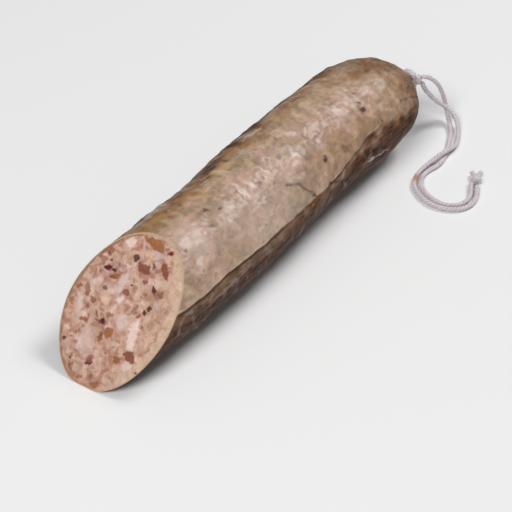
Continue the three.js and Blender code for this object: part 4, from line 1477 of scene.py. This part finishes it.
def even_curve(route, step):
    """A centripetal Catmull-Rom curve through the route, in even steps: between two points it is
    the cubic whose tangents weigh the neighbours by the square root of their distance."""
    points = np.array(route, float)
    points = np.concatenate([[2 * points[0] - points[1]], points, [2 * points[-1] - points[-2]]])
    spacing = np.linalg.norm(np.diff(points, axis=0), axis=1) ** 0.5
    share = np.linspace(0, 1, CURVE_STEPS, endpoint=False)[None, :, None]
    before, gap, after = (spacing[i:len(spacing) - 2 + i, None, None] for i in range(3))
    p0, p1, p2, p3 = (points[i:len(points) - 3 + i, None, :] for i in range(4))
    leaving = ((p1 - p0) / before - (p2 - p0) / (before + gap) + (p2 - p1) / gap) * gap
    arriving = ((p2 - p1) / gap - (p3 - p1) / (gap + after) + (p3 - p2) / after) * gap
    curve = (
        p1 + leaving * share + (3 * (p2 - p1) - 2 * leaving - arriving) * share ** 2
        + (2 * (p1 - p2) + leaving + arriving) * share ** 3
    ).reshape(-1, 3)
    curve = np.concatenate([curve, points[-2:-1]])
    reach = np.concatenate([[0], np.cumsum(np.linalg.norm(np.diff(curve, axis=0), axis=1))])
    even = np.linspace(0, reach[-1], max(int(reach[-1] / step), 4))
    return np.stack([np.interp(even, reach, curve[:, axis]) for axis in range(3)], axis=1)


def twisted_rows(twine, line, reference, scale=1.0):
    """Three-ply twine carried along a line. The reach at an angle is the radius times
    0.82 + 0.18 |cos 1.5a| to the power of 0.8, three lobes that turn once in a lay. Returns the
    rows, and how deep each point lies between the plies."""
    heading = np.gradient(line, axis=0)
    heading /= np.linalg.norm(heading, axis=1, keepdims=True)
    reference = np.broadcast_to(np.asarray(reference, float), heading.shape)
    side = reference - heading * np.sum(reference * heading, axis=1, keepdims=True)
    side /= np.linalg.norm(side, axis=1, keepdims=True)
    other = np.cross(heading, side)
    along = np.concatenate([[0], np.cumsum(np.linalg.norm(np.diff(line, axis=0), axis=1))])
    angle = np.linspace(0, FULL_TURN, TWINE_SIDES, endpoint=False)[None, :]
    turned = angle + FULL_TURN * along[:, None] / twine.lay
    lobes = np.abs(np.cos(PLIES / 2 * turned)) ** PLY_FULLNESS
    slack = 1 + SLACK * ripples(along[:, None], angle, 71, SLACK_WAVE, 10)
    reach = twine.radius * scale * (PLY_CORE + PLY_HEIGHT * lobes) * slack
    rows = line[:, None, :] + reach[..., None] * (
        np.cos(angle)[..., None] * side[:, None, :] + np.sin(angle)[..., None] * other[:, None, :]
    )
    rows[..., 2] = np.maximum(rows[..., 2], 0)
    return rows, 1 - lobes


def twine_map(rows, columns, lanes):
    """A strip map of a tube, cut into lanes that lie one above the other."""
    per_lane = math.ceil((rows - 1) / lanes)
    row, column = np.meshgrid(np.arange(rows - 1), np.arange(columns), indexing="ij")
    lane, place = row.ravel() // per_lane, row.ravel() % per_lane
    u = np.stack([place, place, place + 1, place + 1], axis=1) / per_lane
    column = column.ravel()
    v = np.stack([column, column + 1, column + 1, column], axis=1) / columns
    v = (lane[:, None] + LANE_MARGIN + (1 - 2 * LANE_MARGIN) * v) / lanes
    return np.stack([LANE_ENDS + (1 - 2 * LANE_ENDS) * u, v], axis=-1)


def twine_tubes(twine, tubes):
    """Points, faces, map and masks of several twisted tubes, one after another. Each is a line,
    a reference direction and a scale."""
    points, quads, triangles, quad_maps, fan_maps, hollows = [], [], [], [], [], []
    first = 0
    for number, (line, reference, scale) in enumerate(tubes):
        rows, hollow = twisted_rows(twine, line, reference, scale)
        ends = [line[0] - (line[1] - line[0]) * 0.5, line[-1] + (line[-1] - line[-2]) * 0.5]
        points.append(np.concatenate([ends[:1], rows.reshape(-1, 3), ends[1:]]))
        faces = closed_grid(len(rows), TWINE_SIDES, first)
        quads.append(faces[0])
        triangles.append(faces[1])
        lanes = max(1, round(MAP_LANES / len(tubes)))
        lift, share = number / len(tubes), 1 / len(tubes)
        tube_map = twine_map(len(rows), TWINE_SIDES, lanes)
        quad_maps.append(np.stack([tube_map[..., 0], lift + share * tube_map[..., 1]], axis=-1))
        spot = np.array([END_SPOT, lift + 0.5 * share])
        fan_maps.append(spot + END_SPOT * faces[3] * [1, 0.5])
        hollows.append(np.concatenate([[0.5], hollow.ravel(), [0.5]]))
        first += len(points[-1])
    faces = [np.concatenate(quads), np.concatenate(triangles)]
    maps = [np.concatenate(quad_maps), np.concatenate(fan_maps)]
    return np.concatenate(points), faces, maps, np.concatenate(hollows)


def knot_line(place, size, tilt):
    """An overhand knot as a closed trefoil: a loop that winds twice round while it rises and
    falls three times, sized to fit and tilted."""
    count = int(KNOT_LENGTH / RING_STEP)
    turn = np.linspace(0, FULL_TURN, count)
    flat = 1 + KNOT_SWING * np.cos(3 * turn)
    line = np.stack([flat * np.cos(2 * turn), flat * np.sin(2 * turn), KNOT_RISE * np.sin(3 * turn)], axis=1)
    return place + (line * size) @ np.array(tilt).T


def turned_to(direction):
    """A rotation whose third axis points along the direction."""
    return Vector(direction).to_track_quat("Z", "Y").to_matrix()


def cotton_twine_material(twine):
    """Bleached cotton butcher's twine, three plies laid together: dull and fibrous, with greyish
    painted shade in the hollows between the plies and where the strands lie against each other,
    and stained where cooking juices dried."""
    material, tree = new_material(COTTON_TWINE)
    place = add_node(tree, "ShaderNodeTexCoord", {}).outputs["Object"]
    hollow, strand_shade, stain = (
        add_node(tree, "ShaderNodeAttribute", {}, attribute_name=name).outputs["Fac"]
        for name in ("hollow", "strand_shade", "stain")
    )
    # Yarn fibres, drawn 0.35 mm apart so that they show, and uneven dirt over 3 mm.
    fibre = add_node(tree, "ShaderNodeTexNoise", {
        "Vector": place, "Scale": 1 / (0.35 * MM), "Detail": 3.0, "Roughness": 0.7, "Distortion": 0.5,
    }).outputs["Fac"]
    dirt = add_node(tree, "ShaderNodeTexNoise", {
        "Vector": place, "Scale": 1 / (3 * MM), "Detail": 3.0, "Roughness": 0.6,
    }).outputs["Fac"]
    deep = add_node(tree, "ShaderNodeMath", {0: hollow, 1: 1.6}, operation="POWER").outputs["Value"]
    # Painted shade in the hollows and between the strands, then the stain.
    cotton = rgba(twine.cotton)
    for amount, tint in ((deep, twine.hollow), (strand_shade, twine.strand_shade), (stain, twine.stain)):
        cotton = add_node(tree, "ShaderNodeMix", {
            "Factor": amount, MIX_FROM: cotton, MIX_TO: rgba(tint),
        }, data_type="RGBA").outputs[MIXED]
    cotton = vary_lightness(tree, cotton, (
        (fibre, *NOISE, 0.84, 1.12), (dirt, *NOISE, 0.90, 1.08),
    ))
    rough = add_node(tree, "ShaderNodeMapRange", {
        "Value": fibre, "To Min": 0.78, "To Max": 0.95,
    }).outputs["Result"]
    bump = add_node(tree, "ShaderNodeBump", {
        "Height": fibre, "Strength": 0.7, "Distance": 0.15 * MM,
    }).outputs["Normal"]
    cotton_shader = add_node(tree, "ShaderNodeBsdfPrincipled", {
        "Base Color": cotton, "Roughness": rough, "Normal": bump, "IOR": 1.5,
        "Sheen Weight": 0.25, "Sheen Roughness": 0.6,
    })
    add_node(tree, "ShaderNodeOutputMaterial", {"Surface": cotton_shader.outputs["BSDF"]})
    return material


def add_twine_piece(twine, name, tubes, node, beside=None):
    """One piece of twine from its tubes, with its finish and its place in the frame. It has painted
    shade on the side that lies against another strand, whose middle line is given."""
    points, faces, maps, hollow = twine_tubes(twine, tubes)
    away = np.linalg.norm(points - STAIN_PLACE, axis=1)
    stain = STAIN_STRENGTH * (1 - smoothstep(STAIN_FULL * STAIN_REACH, STAIN_REACH, away))
    strand_shade = np.zeros(len(points))
    if beside is not None:
        gap = np.sqrt(((points[:, None, :] - beside[None, ::3, :]) ** 2).sum(axis=-1).min(axis=1))
        near, far = (share * twine.radius for share in STRAND_SHADE_FADES)
        strand_shade = STRAND_SHADE_STRENGTH * (1 - smoothstep(near, far, gap))
    piece = add_mesh(name, points, faces, maps, {"hollow": hollow, "strand_shade": strand_shade, "stain": stain})
    known = bpy.data.materials.get(COTTON_TWINE)
    piece.data.materials.append(known or cotton_twine_material(twine))
    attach(piece, "root")
    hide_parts(node)
    return piece


class SAUSAGE_OT_loose_twine(bpy.types.Operator):
    """Make the two loose strands and the knot that joins their ends"""

    bl_idname = "sausage.loose_twine"
    bl_label = "Loose twine"
    bl_options = {"REGISTER", "UNDO"}

    def execute(self, context):
        twine = context.scene.twine_shape
        tilt = turned_to(END_KNOT_HEADING)
        knot = knot_line(END_KNOT, END_KNOT_SIZE, tilt)
        tubes = [(knot, tuple(tilt.col[2]), KNOT_TWINE)]
        for tip in TAIL_TIPS:
            bow = (END_KNOT + tip) / 2 + TAIL_BOW
            tubes.append((even_curve([END_KNOT, bow, tip], RING_STEP), TWIST_REFERENCE, TAIL_TWINE))
        joined = add_twine_piece(twine, "joined_ends", tubes, "twine_end_knot")
        for name, node, route, other in (
            ("loose_strand_a", "twine_strand_a", STRAND_A_ROUTE, STRAND_B_ROUTE),
            ("loose_strand_b", "twine_strand_b", STRAND_B_ROUTE, STRAND_A_ROUTE),
        ):
            line, beside = even_curve(route, RING_STEP), even_curve(other, RING_STEP)
            piece = add_twine_piece(twine, name, [(line, TWIST_REFERENCE, 1.0)], node, beside)
        return {"FINISHED"}


class SAUSAGE_OT_tie(bpy.types.Operator):
    """Make the turns of twine round the neck, and their knot"""

    bl_idname = "sausage.tie"
    bl_label = "Tie"
    bl_options = {"REGISTER", "UNDO"}

    def execute(self, context):
        shape, twine = context.scene.sausage_shape, context.scene.twine_shape
        reach = shape.neck_radius + twine.clearance + twine.radius
        count = int(TIE_TURNS * FULL_TURN * reach / RING_STEP)
        turned = TIE_START + np.linspace(0, TIE_TURNS * FULL_TURN, count)
        rise = np.linspace(-1, 1, count) * twine.radius * TIE_SPREAD
        wraps = np.stack([
            TIE[0] + rise, TIE[1] + reach * np.cos(turned), TIE[2] + reach * np.sin(turned),
        ], axis=1)
        tilt = turned_to(TIE_KNOT_HEADING)
        knot = knot_line(TIE_KNOT, TIE_KNOT_SIZE, tilt)
        tubes = [(wraps, (1, 0, 0), 1.0), (knot, tuple(tilt.col[2]), KNOT_TWINE)]
        add_twine_piece(twine, "neck_tie", tubes, "twine_tie")
        return {"FINISHED"}


# ---- The studio ----


class SAUSAGE_OT_camera(bpy.types.Operator):
    """Put the camera at the photograph's viewing angle"""

    bl_idname = "sausage.camera"
    bl_label = "Camera"
    bl_options = {"REGISTER", "UNDO"}

    def execute(self, context):
        studio = context.scene.studio
        back = Vector((
            math.sin(studio.azimuth) * math.cos(studio.elevation),
            -math.cos(studio.azimuth) * math.cos(studio.elevation),
            math.sin(studio.elevation),
        ))
        data = bpy.data.cameras.new("camera")
        data.lens = studio.lens
        data.shift_x, data.shift_y = FRAME_SHIFT
        camera = bpy.data.objects.new("camera", data)
        camera.location = Vector(LOOK_AT) + back * studio.distance
        camera.rotation_euler = back.to_track_quat("Z", "Y").to_euler()
        context.scene.collection.objects.link(camera)
        context.scene.camera = camera
        return {"FINISHED"}


class SAUSAGE_OT_stage(bpy.types.Operator):
    """Make the pale floor, the softboxes and the light from all round"""

    bl_idname = "sausage.stage"
    bl_label = "Stage"
    bl_options = {"REGISTER", "UNDO"}

    def execute(self, context):
        scene, studio = context.scene, context.scene.studio
        half = FLOOR_SIZE / 2
        corners = np.array([(-half, -half, 0), (half, -half, 0), (half, half, 0), (-half, half, 0)])
        floor = add_mesh("pale_floor", corners, [np.array([[0, 1, 2, 3]])])
        material, tree = new_material("matt painted board")
        shader = add_node(tree, "ShaderNodeBsdfPrincipled", {
            "Base Color": rgba(studio.floor), "Roughness": 0.85,
        })
        add_node(tree, "ShaderNodeOutputMaterial", {"Surface": shader.outputs["BSDF"]})
        floor.data.materials.append(material)

        for name, place, size, power in (
            ("key_softbox", KEY_PLACE, KEY_SIZE, studio.key_power),
            ("satin_softbox", SATIN_PLACE, SATIN_SIZE, studio.satin_power),
        ):
            softbox = bpy.data.lights.new(name, "AREA")
            softbox.shape, softbox.size = "DISK", size
            softbox.energy = power
            light = bpy.data.objects.new(name, softbox)
            light.location = place
            light.rotation_euler = Vector(place).to_track_quat("Z", "Y").to_euler()
            scene.collection.objects.link(light)

        world = bpy.data.worlds.new("studio")
        world.use_nodes = True
        background = world.node_tree.nodes["Background"]
        background.inputs["Strength"].default_value = studio.sky
        background.inputs["Color"].default_value = (1, 1, 1, 1)
        scene.world = world
        scene.view_settings.view_transform = "Standard"
        return {"FINISHED"}


# ---- The add-on ----

MAKERS = (
    SAUSAGE_OT_camera, SAUSAGE_OT_loose_twine, SAUSAGE_OT_tie,
    SAUSAGE_OT_casing, SAUSAGE_OT_filling, SAUSAGE_OT_stage,
)
SETTINGS = {
    "sausage_shape": SausageShape,
    "casing_look": CasingLook,
    "filling_look": FillingLook,
    "twine_shape": TwineShape,
    "studio": Studio,
}


class SAUSAGE_PT_panel(bpy.types.Panel):
    """Lists the sausage's pieces and their settings"""

    bl_idname = "SAUSAGE_PT_panel"
    bl_label = "Tongue Sausage"
    bl_space_type = "VIEW_3D"
    bl_region_type = "UI"
    bl_category = "Sausage"

    def draw(self, context):
        for maker in MAKERS:
            self.layout.operator(maker.bl_idname)
        for name, group in SETTINGS.items():
            box = self.layout.box()
            box.label(text=name.replace("_", " ").capitalize())
            for setting in group.__annotations__:
                box.prop(getattr(context.scene, name), setting)


def register():
    for group in SETTINGS.values():
        bpy.utils.register_class(group)
    for maker in (*MAKERS, SAUSAGE_PT_panel):
        bpy.utils.register_class(maker)
    for name, group in SETTINGS.items():
        setattr(bpy.types.Scene, name, PointerProperty(type=group))


def unregister():
    for name in SETTINGS:
        delattr(bpy.types.Scene, name)
    for maker in (SAUSAGE_PT_panel, *reversed(MAKERS)):
        bpy.utils.unregister_class(maker)
    for group in reversed(SETTINGS.values()):
        bpy.utils.unregister_class(group)


def main():
    register()
    bpy.ops.sausage.camera()
    bpy.ops.sausage.loose_twine()
    bpy.ops.sausage.tie()
    bpy.ops.sausage.casing()
    bpy.ops.sausage.filling()
    bpy.ops.sausage.stage()


if __name__ == "__main__":
    main()
